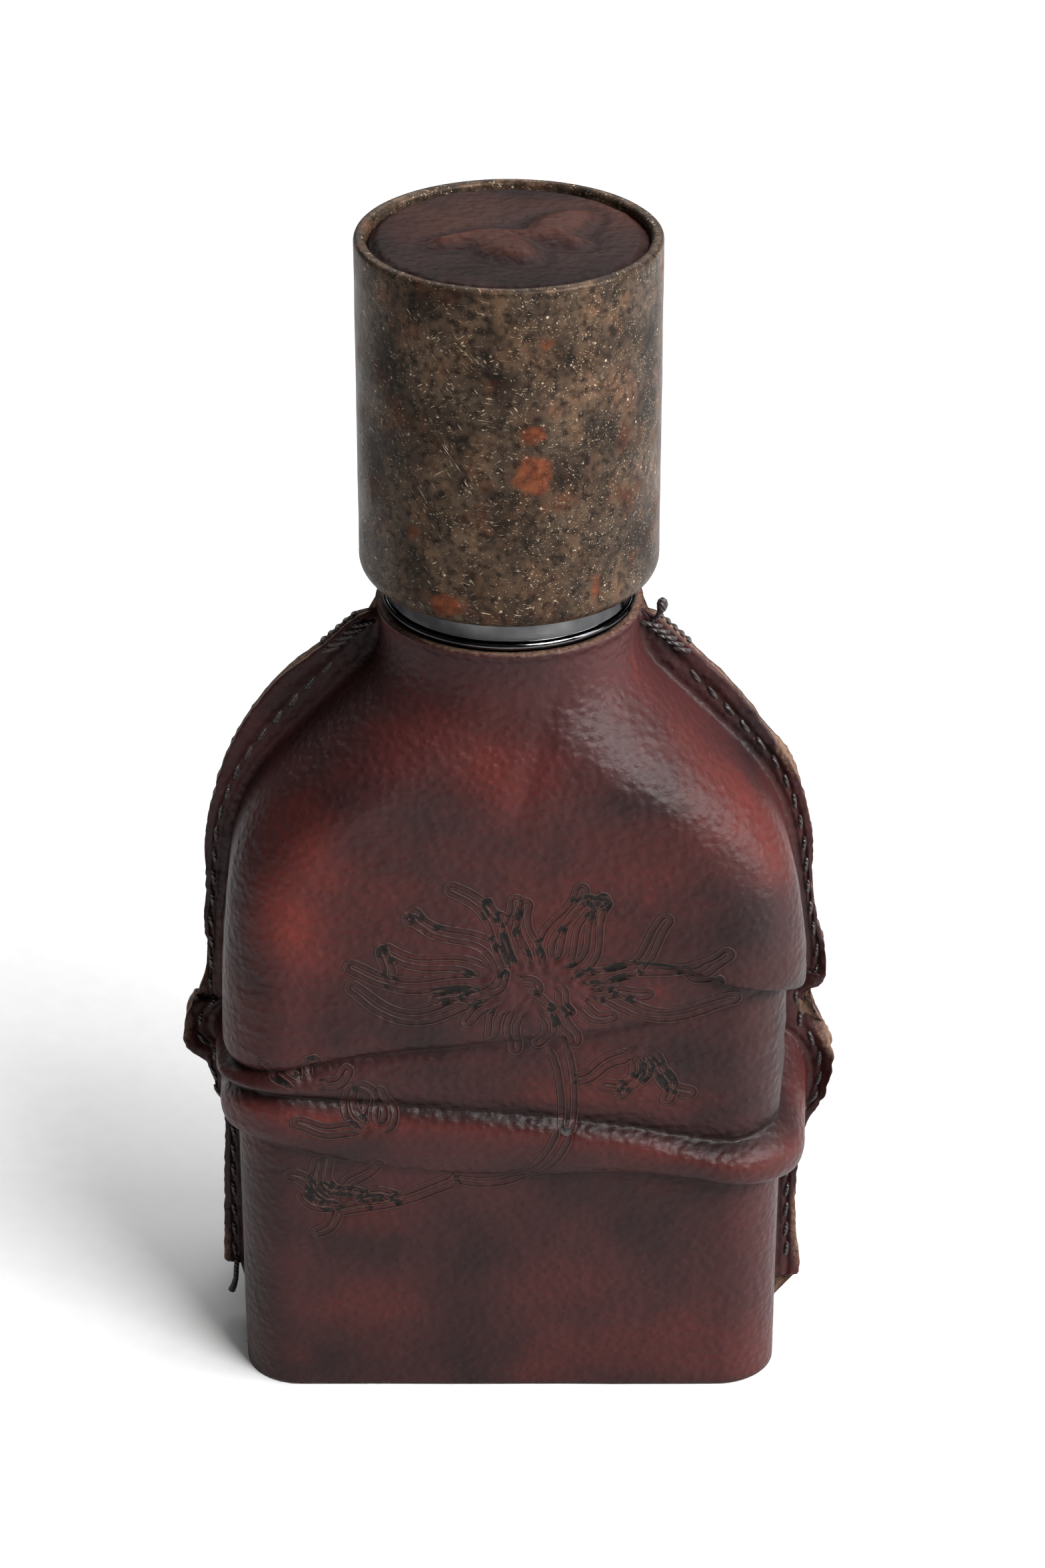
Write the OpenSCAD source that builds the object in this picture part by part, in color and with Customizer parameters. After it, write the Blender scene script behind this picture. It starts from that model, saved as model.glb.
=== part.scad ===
// Flat glass scent flask in a stitched leather jacket, with a pull-off cap over a spray pump.
// Millimetres. The origin is the middle of the base, +Z is up and the front panel faces -Y.

/* [Bottle] */
// Width of the glass body
glass_w = 64; // [54:0.5:78]
// Depth of the glass body
glass_d = 34; // [30:0.5:42]
// Height of the collar's seat above the table
seat_z = 100.4; // [84:0.2:122]
// Radius of the body's upright corners
corner_r = 6.2; // [4:0.1:9]
// Radius of the shoulder's curve, seen from the front
shoulder_r = 19; // [14:0.5:23]
// Lean of the shoulder's straight part, in degrees from upright
shoulder_lean = 44; // [38:1:50]
// Radius of the round land under the collar
land_r = 14.2; // [12.4:0.1:15.6]
// Height of that land
land_h = 6.4; // [4:0.2:9]
// Thickness of the glass in the walls
glass_wall = 3; // [2:0.1:4.5]
// Thickness of the glass in the base
glass_base = 8; // [4:0.5:12]
// Radius of the glass's lower edge
foot_r = 1.6; // [0.8:0.1:2.5]

/* [Neck] */
// Outside diameter of the crimp ring
neck_d = 18; // [16.5:0.1:19]
// Diameter of the neck's bore
neck_bore = 12.6; // [11:0.1:13.4]
// Height of the neck above the seat
neck_h = 10.5; // [9:0.1:13]
// Height of the crimp ring
ring_h = 4; // [2.5:0.1:5]
// How far the neck stands back under the ring
ring_step = 1; // [0.6:0.05:1.3]

/* [Leather jacket] */
// Thickness of the leather
leather_t = 0.9; // [0.6:0.05:1.4]
// Gap between the leather and the glass
leather_fit = 0.1; // [0.05:0.01:0.3]
// Height of the leather's cut edge above the table
leather_low = 0.2; // [0.1:0.05:0.8]
// Width of the seam flange
flange_w = 3.5; // [2.6:0.1:5]
// Distance of the stitches from the body, on the flange
seam_in = 1.7; // [1.3:0.1:2]
// Height of the flange's lower end
flange_low = 3; // [1.5:0.1:8]
// Height of the slack leather's fold
fold_z = 40; // [30:0.5:50]
// How far the fold stands out of the panels
fold_out = 2.2; // [0:0.1:3.5]
// Half of the fold's height
fold_half = 6; // [3:0.5:9]
// How much further the flange stands out at the fold
fold_loop = 1.4; // [0:0.1:3]
// Thickness of the pad under the bottle
pad_t = 1.2; // [0.8:0.1:2]
// How far the pad stands back from the leather
pad_in = 0.3; // [0.2:0.1:2]

/* [Thread] */
// Diameter of the thread
thread_d = 0.7; // [0.4:0.05:0.9]
// Distance from stitch to stitch
stitch_pitch = 3; // [2.2:0.1:4]
// Length of one stitch
stitch_len = 2.2; // [1.4:0.1:3]
// Turns of thread over the flange at each corner of the neck
binding_turns = 4; // [2:1:5]

/* [Pump] */
// Outside diameter of the pump housing
housing_d = 8.4; // [8:0.1:9]
// Diameter of the pump's cylinder
cylinder_d = 6.4; // [6:0.1:6.8]
// Depth of the cylinder's spring ledge under the housing's top
ledge_depth = 21.2; // [19.4:0.1:24]
// Diameter of the stem
stem_d = 3.2; // [2.8:0.1:3.6]
// Diameter of the passage through stem, piston and actuator
passage_d = 1.4; // [0.8:0.1:1.6]
// Radial clearance of every sliding fit
running = 0.05; // [0.02:0.01:0.08]
// How far the actuator presses down
stroke = 4; // [2.5:0.1:4.8]
// Diameter of the inlet ball
ball_d = 2.4; // [2:0.1:2.6]
// How far the ball lifts
ball_lift = 0.9; // [0.4:0.1:1]
// Outside diameter of the dip tube
dip_d = 2.7; // [2.2:0.1:3]
// Gap between the dip tube's end and the glass
dip_gap = 2.5; // [1:0.1:5]
// Diameter of the spring's wire
wire_d = 0.6; // [0.4:0.05:0.65]
// Turns of the spring
spring_turns = 6; // [4:1:6]
// Thickness of the ferrule's sheet
ferrule_t = 0.5; // [0.3:0.05:0.7]
// Diameter of the actuator
actuator_d = 12.4; // [11:0.1:13.4]
// Height of the actuator above the end of its stem socket's mouth
actuator_h = 9.5; // [8.6:0.1:11]
// Thickness of the actuator's metal sleeve
sleeve_t = 0.5; // [0.3:0.05:0.7]

/* [Collar] */
// Outside diameter of the collar
collar_d = 28.6; // [26:0.1:31]
// How far the bead stands out of the collar
bead_out = 0.6; // [0.3:0.05:0.7]
// Height of the bead
bead_h = 1; // [0.7:0.1:1.4]
// Thickness of the collar's wall
collar_wall = 1.2; // [0.8:0.1:1.6]
// Thickness of the collar's top
collar_top_t = 1; // [0.8:0.1:2]

/* [Cap] */
// How far the cap stands out past the collar
cap_over = 3.2; // [2.7:0.1:7]
// Height of the cap
cap_h = 41.6; // [39.6:0.1:52]
// Height of the cap's lower edge above the collar's seat
cap_gap = 3.6; // [2.4:0.1:4.6]
// Thickness of the cap's wall
cap_wall = 1.6; // [1.2:0.1:2]
// Radius of the cap's rolled lower edge
cap_foot_r = 2.3; // [1:0.1:3]
// Radius of the cap's rim
rim_r = 0.6; // [0.3:0.05:0.9]
// Width of the rim around the leather disc
rim_w = 1.4; // [1.2:0.1:3]
// Depth of the recess for the leather disc
recess = 2; // [1.8:0.1:3]
// Thickness of the cap's top under the recess
cap_top_t = 1.6; // [1:0.1:2.4]
// Height of the collar's grip in the liner
grip_h = 8.4; // [5:0.1:9]
// Thickness of the liner's ceiling
liner_top_t = 1.2; // [0.8:0.1:1.6]

/* [Cap disc] */
// Gap around the leather disc
disc_gap = 0.2; // [0.15:0.05:0.6]
// Thickness of the backing card
card_t = 0.6; // [0.4:0.05:0.8]
// Thickness of the disc's leather
disc_t = 1; // [0.8:0.05:1.2]
// Height of the raised core under the leather
core_h = 0.8; // [0.5:0.05:0.9]
// Width of the core's stem
core_w = 1.8; // [1.2:0.1:2.4]

/* [Hidden] */
$fn = 64;

// Bare gaps between pieces that are glued, pressed or clipped together
glued = 0.02;
seated = 0.1;
loose = 0.35;
// Bite of a cutter past the face that it opens
bite = 1;

// Shoulder: an arc, then a straight slope up to the round land
arc_top = shoulder_r * sin(shoulder_lean);
slope_w = glass_w / 2 - shoulder_r + shoulder_r * cos(shoulder_lean) - land_r;
land_z = seat_z - land_h;
slope_z = land_z - slope_w / tan(shoulder_lean);
shoulder_z = slope_z - arc_top;
arc_steps = 5;
corner_steps = 6;
shoulder_levels = concat(
    [for (i = [0:arc_steps]) shoulder_z + shoulder_r * sin(shoulder_lean * i / arc_steps)],
    [for (i = [1:3]) slope_z + (land_z - slope_z) * i / 3]);

// Neck and pump, from the seat up
neck_top = seat_z + neck_h;
ring_z = neck_top - ring_h;
gasket_t = 0.9;
housing_flange_t = 1;
housing_flange_z = neck_top + gasket_t;
ferrule_in_r = neck_d / 2 + seated;
ferrule_r = ferrule_in_r + ferrule_t;
ferrule_top = housing_flange_z + housing_flange_t + ferrule_t;
housing_top = ferrule_top + 0.5;
closure_flange_t = 1;
closure_top = housing_top + closure_flange_t;
closure_flange_r = housing_d / 2 + 0.7;
ledge_z = housing_top - ledge_depth;
cage_h = 2.4;
cage_r = ball_d / 2 + 0.7;
seat_hole_r = ball_d / 3;
seat_cone_h = 1.2;
cage_z = ledge_z - cage_h;
seat_cone_z = cage_z - seat_cone_h;
housing_floor_z = seat_cone_z - 0.5;
spigot_h = 8.5;
spigot_z = housing_floor_z - spigot_h;
seat_angle = atan((cage_r - seat_hole_r) / seat_cone_h);
ball_z = seat_cone_z - seat_hole_r / tan(seat_angle) + (ball_d / 2 + glued) / sin(seat_angle);

// Piston under its gasket, with room under it for the spring at the end of the stroke
stem_gasket_t = 0.8;
closure_depth = 7.2;
closure_low = housing_top - closure_depth;
piston_h = 4.1;
piston_top = closure_low - stem_gasket_t - 0.2;
piston_z = piston_top - piston_h;
spring_z = ledge_z + glued + wire_d / 2;
spring_h = piston_z - glued - wire_d / 2 - spring_z;
spring_r = (cylinder_d - wire_d) / 2 - 0.4;

// Actuator, clear of the collar and the closure at the end of the stroke
collar_top = ferrule_top + 0.2 + collar_top_t;
skirt_z = max(collar_top, closure_top) + stroke + 0.3;
skirt_wall = 0.8;
hub_z = skirt_z + 0.3;
socket_depth = 5.5;
stem_top = hub_z + socket_depth;
actuator_top = hub_z + actuator_h;
nozzle_d = 3.5;
nozzle_len = 2;
nozzle_z = stem_top + nozzle_d / 2 - 0.4;
orifice_d = 0.3;
sleeve_r = actuator_d / 2 + glued + sleeve_t;

// Collar over the ferrule
collar_r = collar_d / 2;
collar_hole_r = closure_flange_r + loose;
collar_grip_wall = 0.8;
collar_wall_r = collar_r - collar_wall;
collar_seat_w = 1.1;
collar_foot_r = min(collar_wall_r, land_r - collar_seat_w);

// Cap on the collar
cap_z = seat_z + cap_gap;
cap_top = cap_z + cap_h;
cap_r = collar_r + cap_over;
recess_r = cap_r - rim_w;
recess_z = cap_top - recess;
ceiling_z = recess_z - cap_top_t;
cap_in_r = cap_r - cap_wall;
lip_h = 1.4;
lip_r = collar_r + bead_out + 0.2;
foot_fillet_r = min(cap_foot_r, cap_r - lip_r);
liner_z = cap_z + lip_h + seated;
liner_r = cap_in_r - glued;
liner_in_r = collar_r + running;
liner_relief = 0.5;
liner_ceiling_z = ceiling_z - glued - liner_top_t;
disc_r = recess_r - disc_gap;
core_z = recess_z + card_t;

// Leather outside the glass, with the fold of slack leather round the waist
function swell(z) = abs(z - fold_z) < fold_half ? (1 + cos(180 * (z - fold_z) / fold_half)) / 2 : 0;
function ease(t) = (1 - cos(180 * min(1, max(0, t)))) / 2;
function skin(z) = leather_fit + leather_t + fold_out * swell(z);
leather_top = seat_z - 0.2;
tip_z = land_z + 0.55 * land_h;
function flange(z) = z <= flange_low ? glued : z >= leather_top ? glued
    : z > tip_z ? flange_w * (leather_top - z) / (leather_top - tip_z) : flange_w + fold_loop * swell(z);

// Half width, half depth and corner radius of the glass at a height
function half_w(z) = z <= shoulder_z ? glass_w / 2
    : z <= slope_z ? glass_w / 2 - shoulder_r + sqrt(pow(shoulder_r, 2) - pow(z - shoulder_z, 2))
    : max(land_r, land_r + slope_w * (land_z - z) / (land_z - slope_z));
function half_d(z) = glass_d / 2 + (land_r - glass_d / 2) * ease((z - slope_z) / (land_z - slope_z));
function round_r(z) = z >= land_z ? land_r
    : min(corner_r + (land_r - corner_r) * ease((z - shoulder_z) / (land_z - shoulder_z)),
        half_w(z), half_d(z));
function lean_at(z) = z <= shoulder_z ? 0 : z < slope_z ? asin((z - shoulder_z) / shoulder_r)
    : z < land_z ? shoulder_lean : 0;

// Points of an arc, from one angle to another
function arc(x, y, r, a, b, steps) = [for (i = [0:steps]) [x + r * cos(a + (b - a) * i / steps),
    y + r * sin(a + (b - a) * i / steps)]];

// One corner of the body's section, and the whole section
function corner(z, grow, sx, sy, a) = arc(sx * (half_w(z) - round_r(z)), sy * (half_d(z) - round_r(z)),
    round_r(z) + grow, a, a + 90, corner_steps);
function section(z, grow) = concat(corner(z, grow, 1, 1, 0), corner(z, grow, -1, 1, 90),
    corner(z, grow, -1, -1, 180), corner(z, grow, 1, -1, 270));

// A solid through closed sections, given as [height, growth past the glass]
module body_loft(stations) {
    n = 4 * (corner_steps + 1);
    last = len(stations) - 1;
    points = [for (s = stations) for (p = section(s[0], s[1])) [p[0], p[1], s[0]]];
    sides = [for (k = [0:last - 1]) for (i = [0:n - 1])
        [k * n + i, (k + 1) * n + i, (k + 1) * n + (i + 1) % n, k * n + (i + 1) % n]];
    polyhedron(points, concat(sides, [[for (i = [0:n - 1]) i]], [[for (i = [n - 1:-1:0]) last * n + i]]));
}

// Foot of a lofted solid: a quarter round from the height z up
function foot(z, grow, r) = [for (i = [0:3]) [z + r - r * cos(30 * i), grow - r + r * sin(30 * i)]];

module glass_bottle() {
    cavity_z = pad_t + glass_base;
    cavity_top = land_z + 0.4 * land_h;
    color("lightcyan", 0.5) difference() {
        union() {
            body_loft(concat(foot(pad_t, 0, foot_r), [for (z = shoulder_levels) [z, 0]], [[seat_z, 0]]));
            translate([0, 0, seat_z - bite]) cylinder(d = neck_d - 2 * ring_step, h = neck_h + bite);
            translate([0, 0, ring_z]) cylinder(d = neck_d, h = ring_h);
        }
        body_loft(concat(foot(cavity_z, -glass_wall, 2 * foot_r),
            [for (z = shoulder_levels) [z, -glass_wall]],
            [[cavity_top, -glass_wall]]));
        translate([0, 0, cavity_top - bite]) cylinder(d = neck_bore, h = neck_top - cavity_top + 2 * bite);
    }
}

// The base pad is the section of the foot, glued under the glass
module base_pad() {
    grow = leather_fit - pad_in;
    color("saddlebrown") linear_extrude(pad_t) polygon(section(0, grow));
}

// Half of the jacket, at -Y: its inner and outer outlines at a height, from flange tip to flange tip
function outer_x(z) = half_w(z) + skin(z);
function inner_line(z) = concat([[outer_x(z) + flange(z), 0], [half_w(z) + leather_fit, 0]],
    [for (i = [corner_steps:-1:0]) corner(z, leather_fit, 1, -1, 270)[i]],
    [for (i = [corner_steps:-1:0]) corner(z, leather_fit, -1, -1, 180)[i]],
    [[-half_w(z) - leather_fit, 0], [-outer_x(z) - flange(z), 0]]);
function outer_line(z) = concat([[outer_x(z) + flange(z), -leather_t], [outer_x(z), -leather_t]],
    [for (i = [corner_steps:-1:0]) corner(z, skin(z), 1, -1, 270)[i]
        - [0, i == corner_steps ? leather_t : 0]],
    [for (i = [corner_steps:-1:0]) corner(z, skin(z), -1, -1, 180)[i] - [0, i == 0 ? leather_t : 0]],
    [[-outer_x(z), -leather_t], [-outer_x(z) - flange(z), -leather_t]]);

// A sheet with two faces: the same number of points on each line, at each height
module sheet(levels) {
    n = len(inner_line(levels[0]));
    last = len(levels) - 1;
    points = [for (z = levels) for (p = concat(inner_line(z), outer_line(z))) [p[0], p[1], z]];
    function at(k, i, face) = 2 * n * k + n * face + i;
    inner = [for (k = [0:last - 1]) for (i = [0:n - 2])
        [at(k, i, 0), at(k + 1, i, 0), at(k + 1, i + 1, 0), at(k, i + 1, 0)]];
    outer = [for (k = [0:last - 1]) for (i = [0:n - 2])
        [at(k, i, 1), at(k, i + 1, 1), at(k + 1, i + 1, 1), at(k + 1, i, 1)]];
    ends = [for (k = [0:last - 1]) each [
        [at(k, 0, 0), at(k, 0, 1), at(k + 1, 0, 1), at(k + 1, 0, 0)],
        [at(k, n - 1, 0), at(k + 1, n - 1, 0), at(k + 1, n - 1, 1), at(k, n - 1, 1)]]];
    edges = [for (i = [0:n - 2]) each [
        [at(0, i, 0), at(0, i + 1, 0), at(0, i + 1, 1), at(0, i, 1)],
        [at(last, i, 0), at(last, i, 1), at(last, i + 1, 1), at(last, i + 1, 0)]]];
    polyhedron(points, concat(inner, outer, ends, edges));
}

leather_levels = concat([leather_low, flange_low, flange_low + 0.8, fold_z - fold_half],
    [for (i = [-3:3]) fold_z + fold_half * i / 4], [fold_z + fold_half], shoulder_levels,
    [tip_z, leather_top]);

module leather_front() color("#5a1f1c") sheet(leather_levels);
module leather_back() color("#5a1f1c") mirror([0, 1, 0]) sheet(leather_levels);

// Turns of the binding at the corner of the neck, one above the other, down from the flange's tip
binding_pitch = thread_d + 0.15;
binding_low = tip_z - binding_turns * binding_pitch;

// Heights of the stitches, a pitch apart along the seam, up to the binding
function stitch_heights(z) = z > binding_low - (stitch_len + thread_d) / 2 ? []
    : concat([z], stitch_heights(z + stitch_pitch * cos(lean_at(z))));

// One side's stitches, on both faces of the flange. side is 1 at +X and -1 at -X
module seam_thread(side) {
    color("#2a1512") for (z = stitch_heights(flange_low + stitch_pitch), face = [-1, 1])
        translate([side * (outer_x(z) + seam_in), face * (leather_t + glued + thread_d / 2), z])
            rotate([0, -side * lean_at(z), 0])
                cylinder(d = thread_d, h = stitch_len, center = true, $fn = 24);
}
module seam_thread_left() seam_thread(-1);
module seam_thread_right() seam_thread(1);

// Turns of thread over the flange's edge at a corner of the neck, down from its tip
module neck_binding(side) {
    leg = 0.6 * flange_w;
    half = leather_t + glued;
    color("#1d0f0d") for (i = [0:binding_turns - 1]) {
        z = tip_z - thread_d / 2 - i * binding_pitch;
        edge = outer_x(z - thread_d / 2) + flange(z - thread_d / 2) + glued;
        rotate([0, 0, side > 0 ? 0 : 180]) translate([edge - leg, 0, z - thread_d / 2])
            linear_extrude(thread_d) difference() {
                translate([0, -half - thread_d]) square([leg + thread_d, 2 * (half + thread_d)]);
                translate([-bite, -half]) square([leg + bite, 2 * half]);
            }
    }
}
module neck_binding_left() neck_binding(-1);
module neck_binding_right() neck_binding(1);

// A turned piece from its half outline
module turned(points) rotate_extrude() polygon(points);
// A turned ring
module ring(r_in, r_out, z, h) turned([[r_in, z], [r_out, z], [r_out, z + h], [r_in, z + h]]);

module neck_gasket() color("dimgray") ring(housing_d / 2 + seated, neck_d / 2, neck_top, gasket_t);

module crimp_ferrule() {
    hole_r = housing_d / 2 + 0.2;
    crimp_z = ring_z - ferrule_t - seated;
    crimp_r = neck_d / 2 - ring_step + 0.2;
    color("silver") turned([[hole_r, ferrule_top - ferrule_t], [hole_r, ferrule_top],
        [ferrule_r, ferrule_top], [ferrule_r, crimp_z], [crimp_r, crimp_z], [crimp_r, crimp_z + ferrule_t],
        [ferrule_in_r, crimp_z + ferrule_t], [ferrule_in_r, ferrule_top - ferrule_t]]);
}

// The collar is a deep ring with a bead round its foot and an inner sleeve that grips the ferrule.
// The foot reaches in as far as it takes to sit on the land
module neck_collar() {
    bead_r = bead_h / 2;
    edge_r = 0.8;
    grip_r = ferrule_r + glued;
    under = collar_top - collar_top_t;
    foot_ledge = collar_foot_r < collar_wall_r
        ? [[collar_wall_r, seat_z + bead_h], [collar_foot_r, seat_z + bead_h]] : [];
    color("gainsboro") turned(concat([[collar_foot_r, seat_z]],
        arc(collar_r + bead_out - bead_r, seat_z + bead_r, bead_r, -90, 90, 8),
        [[collar_r, seat_z + bead_h]],
        arc(collar_r - edge_r, collar_top - edge_r, edge_r, 0, 90, 5),
        [[collar_hole_r, collar_top], [collar_hole_r, under], [grip_r, under], [grip_r, seat_z + neck_h / 2],
        [grip_r + collar_grip_wall, seat_z + neck_h / 2], [grip_r + collar_grip_wall, under],
        [collar_wall_r, under]], foot_ledge));
}

module pump_housing() {
    color("whitesmoke") difference() {
        union() {
            translate([0, 0, housing_floor_z]) cylinder(d = housing_d, h = housing_top - housing_floor_z);
            translate([0, 0, housing_flange_z]) cylinder(d = neck_d, h = housing_flange_t);
            translate([0, 0, spigot_z]) cylinder(d = dip_d + 2, h = spigot_h + bite);
        }
        translate([0, 0, ledge_z]) cylinder(d = cylinder_d, h = ledge_depth + bite);
        translate([0, 0, cage_z]) cylinder(r = cage_r, h = cage_h + bite);
        translate([0, 0, seat_cone_z]) cylinder(r1 = seat_hole_r, r2 = cage_r, h = seat_cone_h);
        translate([0, 0, spigot_z - bite]) cylinder(r = seat_hole_r, h = seat_cone_z - spigot_z + 2 * bite);
        translate([0, 0, spigot_z - bite]) cylinder(d = dip_d + 2 * seated, h = spigot_h - bite);
    }
}

module dip_tube() {
    low = pad_t + glass_base + dip_gap;
    wall = 0.45;
    color("white") ring(dip_d / 2 - wall, dip_d / 2, low, spigot_z + spigot_h - 2.5 * bite - low);
}

module inlet_ball() color("slategray") translate([0, 0, ball_z]) sphere(d = ball_d, $fn = 48);

// The spring is a wire swept along its turns, wound closer at both ends
module return_spring() {
    sides = 6;
    per_turn = 20;
    rings = spring_turns * per_turn;
    close = min(0.14, (1 / spring_turns - 1.05 * wire_d / spring_h) / sin(360 / spring_turns));
    function rise(t) = spring_h * (t - close * sin(360 * t));
    points = [for (k = [0:rings]) for (i = [0:sides - 1]) let (
        turn = 360 * k / per_turn, around = 360 * i / sides, r = spring_r + wire_d / 2 * cos(around))
        [r * cos(turn), r * sin(turn), spring_z + rise(k / rings) + wire_d / 2 * sin(around)]];
    skin = [for (k = [0:rings - 1]) for (i = [0:sides - 1])
        [k * sides + i, (k + 1) * sides + i, (k + 1) * sides + (i + 1) % sides,
            k * sides + (i + 1) % sides]];
    color("lightslategray") polyhedron(points, concat(skin, [[for (i = [0:sides - 1]) i]],
        [[for (i = [sides - 1:-1:0]) rings * sides + i]]));
}

module pump_piston() {
    sink = 0.8;
    color("white") difference() {
        translate([0, 0, piston_z]) cylinder(r = cylinder_d / 2 - running, h = piston_h);
        translate([0, 0, piston_z - bite]) cylinder(d = passage_d, h = piston_h);
        translate([0, 0, piston_z + sink]) cylinder(d = stem_d + 2 * glued, h = piston_h);
    }
}

module pump_stem() {
    low = piston_z + 0.8 + glued;
    color("whitesmoke") ring(passage_d / 2, stem_d / 2, low, stem_top - low);
}

module stem_gasket() color("dimgray")
    ring(stem_d / 2 + running, cylinder_d / 2 - glued, closure_low - stem_gasket_t, stem_gasket_t);

module pump_closure() {
    color("gainsboro") turned([[stem_d / 2 + running, closure_low], [cylinder_d / 2 - glued, closure_low],
        [cylinder_d / 2 - glued, housing_top], [closure_flange_r, housing_top],
        [closure_flange_r, closure_top],
        [stem_d / 2 + running, closure_top]]);
}

// The button: a hub on the stem, a skirt round it, and the way out to the nozzle
module actuator() {
    r = actuator_d / 2;
    color("black") difference() {
        union() {
            translate([0, 0, hub_z]) cylinder(r = r, h = actuator_top - hub_z);
            ring(r - skirt_wall, r, skirt_z, hub_z - skirt_z + bite);
        }
        translate([0, 0, hub_z - bite]) cylinder(d = stem_d + 2 * running, h = socket_depth + bite + glued);
        translate([0, 0, hub_z]) cylinder(d = passage_d, h = nozzle_z - hub_z);
        translate([0, 0, nozzle_z]) rotate([90, 0, 0]) cylinder(d = passage_d, h = r);
        translate([0, glued - r + nozzle_len, nozzle_z]) rotate([90, 0, 0])
            cylinder(d = nozzle_d + 2 * glued, h = nozzle_len + bite);
    }
}

module actuator_sleeve() {
    r = actuator_d / 2 + glued;
    edge_r = 0.45;
    top = actuator_top + glued;
    color("gainsboro") difference() {
        turned(concat([[r, skirt_z]], [[sleeve_r, skirt_z]],
            arc(sleeve_r - edge_r, top + sleeve_t - edge_r, edge_r, 0, 90, 4),
            [[0, top + sleeve_t], [0, top], [r, top]]));
        translate([0, 0, nozzle_z]) rotate([90, 0, 0])
            cylinder(d = nozzle_d + 2 * loose, h = sleeve_r + bite);
    }
}

module nozzle_insert() {
    color("white") translate([0, -actuator_d / 2 + nozzle_len, nozzle_z]) rotate([90, 0, 0]) difference() {
        cylinder(d = nozzle_d, h = nozzle_len);
        translate([0, 0, -bite]) cylinder(d = orifice_d, h = nozzle_len + 2 * bite, $fn = 24);
        translate([0, 0, -bite]) cylinder(d = passage_d, h = bite + 0.6 * nozzle_len);
    }
}

// The cap: a cup with a rolled-in foot, and a shallow recess in its top for the leather disc
module cap_shell() {
    color("#4a3a2a") turned(concat([[lip_r, cap_z]],
        arc(cap_r - foot_fillet_r, cap_z + foot_fillet_r, foot_fillet_r, -90, 0, 8),
        arc(cap_r - rim_r, cap_top - rim_r, rim_r, 0, 90, 4),
        arc(recess_r + rim_r, cap_top - rim_r, rim_r, 90, 180, 4),
        [[recess_r, recess_z], [0, recess_z], [0, ceiling_z], [cap_in_r, ceiling_z],
        [cap_in_r, cap_z + cap_wall + lip_h], [lip_r, cap_z + lip_h]]));
}

module cap_liner() {
    grip_top = liner_z + grip_h;
    foot = cap_wall;
    color("#202020") turned([[liner_in_r, liner_z + foot], [liner_r, liner_z + foot],
        [liner_r, liner_ceiling_z + liner_top_t], [0, liner_ceiling_z + liner_top_t], [0, liner_ceiling_z],
        [liner_in_r + liner_relief, liner_ceiling_z], [liner_in_r + liner_relief, grip_top],
        [liner_in_r, grip_top]]);
}

module cap_card() color("tan") translate([0, 0, recess_z]) cylinder(r = disc_r - 0.2, h = card_t);

// Raised sprig under the disc: a curved stem and two leaves, widened by grow
module sprig(grow) {
    bend_r = 0.9 * disc_r;
    sweep = 62;
    half = core_w / 2 + grow;
    translate([0, -bend_r]) rotate([0, 0, 90 - sweep / 2]) intersection() {
        difference() {
            circle(r = bend_r + half);
            circle(r = bend_r - half);
        }
        polygon([[0, 0], [3 * bend_r, 0], [3 * bend_r * cos(sweep), 3 * bend_r * sin(sweep)]]);
    }
    for (s = [-1, 1]) translate([s * 0.2 * disc_r, 0]) rotate([0, 0, s * 52]) leaf(grow);
}

module leaf(grow) {
    long = 0.5 * disc_r;
    side_r = 0.42 * disc_r + grow;
    translate([long / 2, 0]) intersection_for(s = [-1, 1])
        translate([0, s * 0.26 * disc_r]) circle(r = side_r);
}

module cap_relief_core() color("peru") translate([0, 0, core_z]) linear_extrude(core_h) sprig(0);

module cap_leather_disc() {
    color("#33231f") difference() {
        union() {
            translate([0, 0, core_z]) cylinder(r = disc_r, h = disc_t);
            translate([0, 0, core_z]) linear_extrude(core_h + 0.8 * disc_t) sprig(0.6 * disc_t);
        }
        translate([0, 0, core_z - bite]) linear_extrude(core_h + glued + bite) sprig(glued);
    }
}

glass_bottle();
base_pad();
leather_front();
leather_back();
seam_thread_left();
seam_thread_right();
neck_binding_left();
neck_binding_right();
neck_gasket();
crimp_ferrule();
neck_collar();
pump_housing();
dip_tube();
inlet_ball();
return_spring();
pump_piston();
pump_stem();
stem_gasket();
pump_closure();
actuator();
actuator_sleeve();
nozzle_insert();
cap_shell();
cap_liner();
cap_card();
cap_relief_core();
cap_leather_disc();
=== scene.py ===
import math
import random
import bpy
import numpy as np
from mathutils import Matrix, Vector, kdtree, noise


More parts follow.
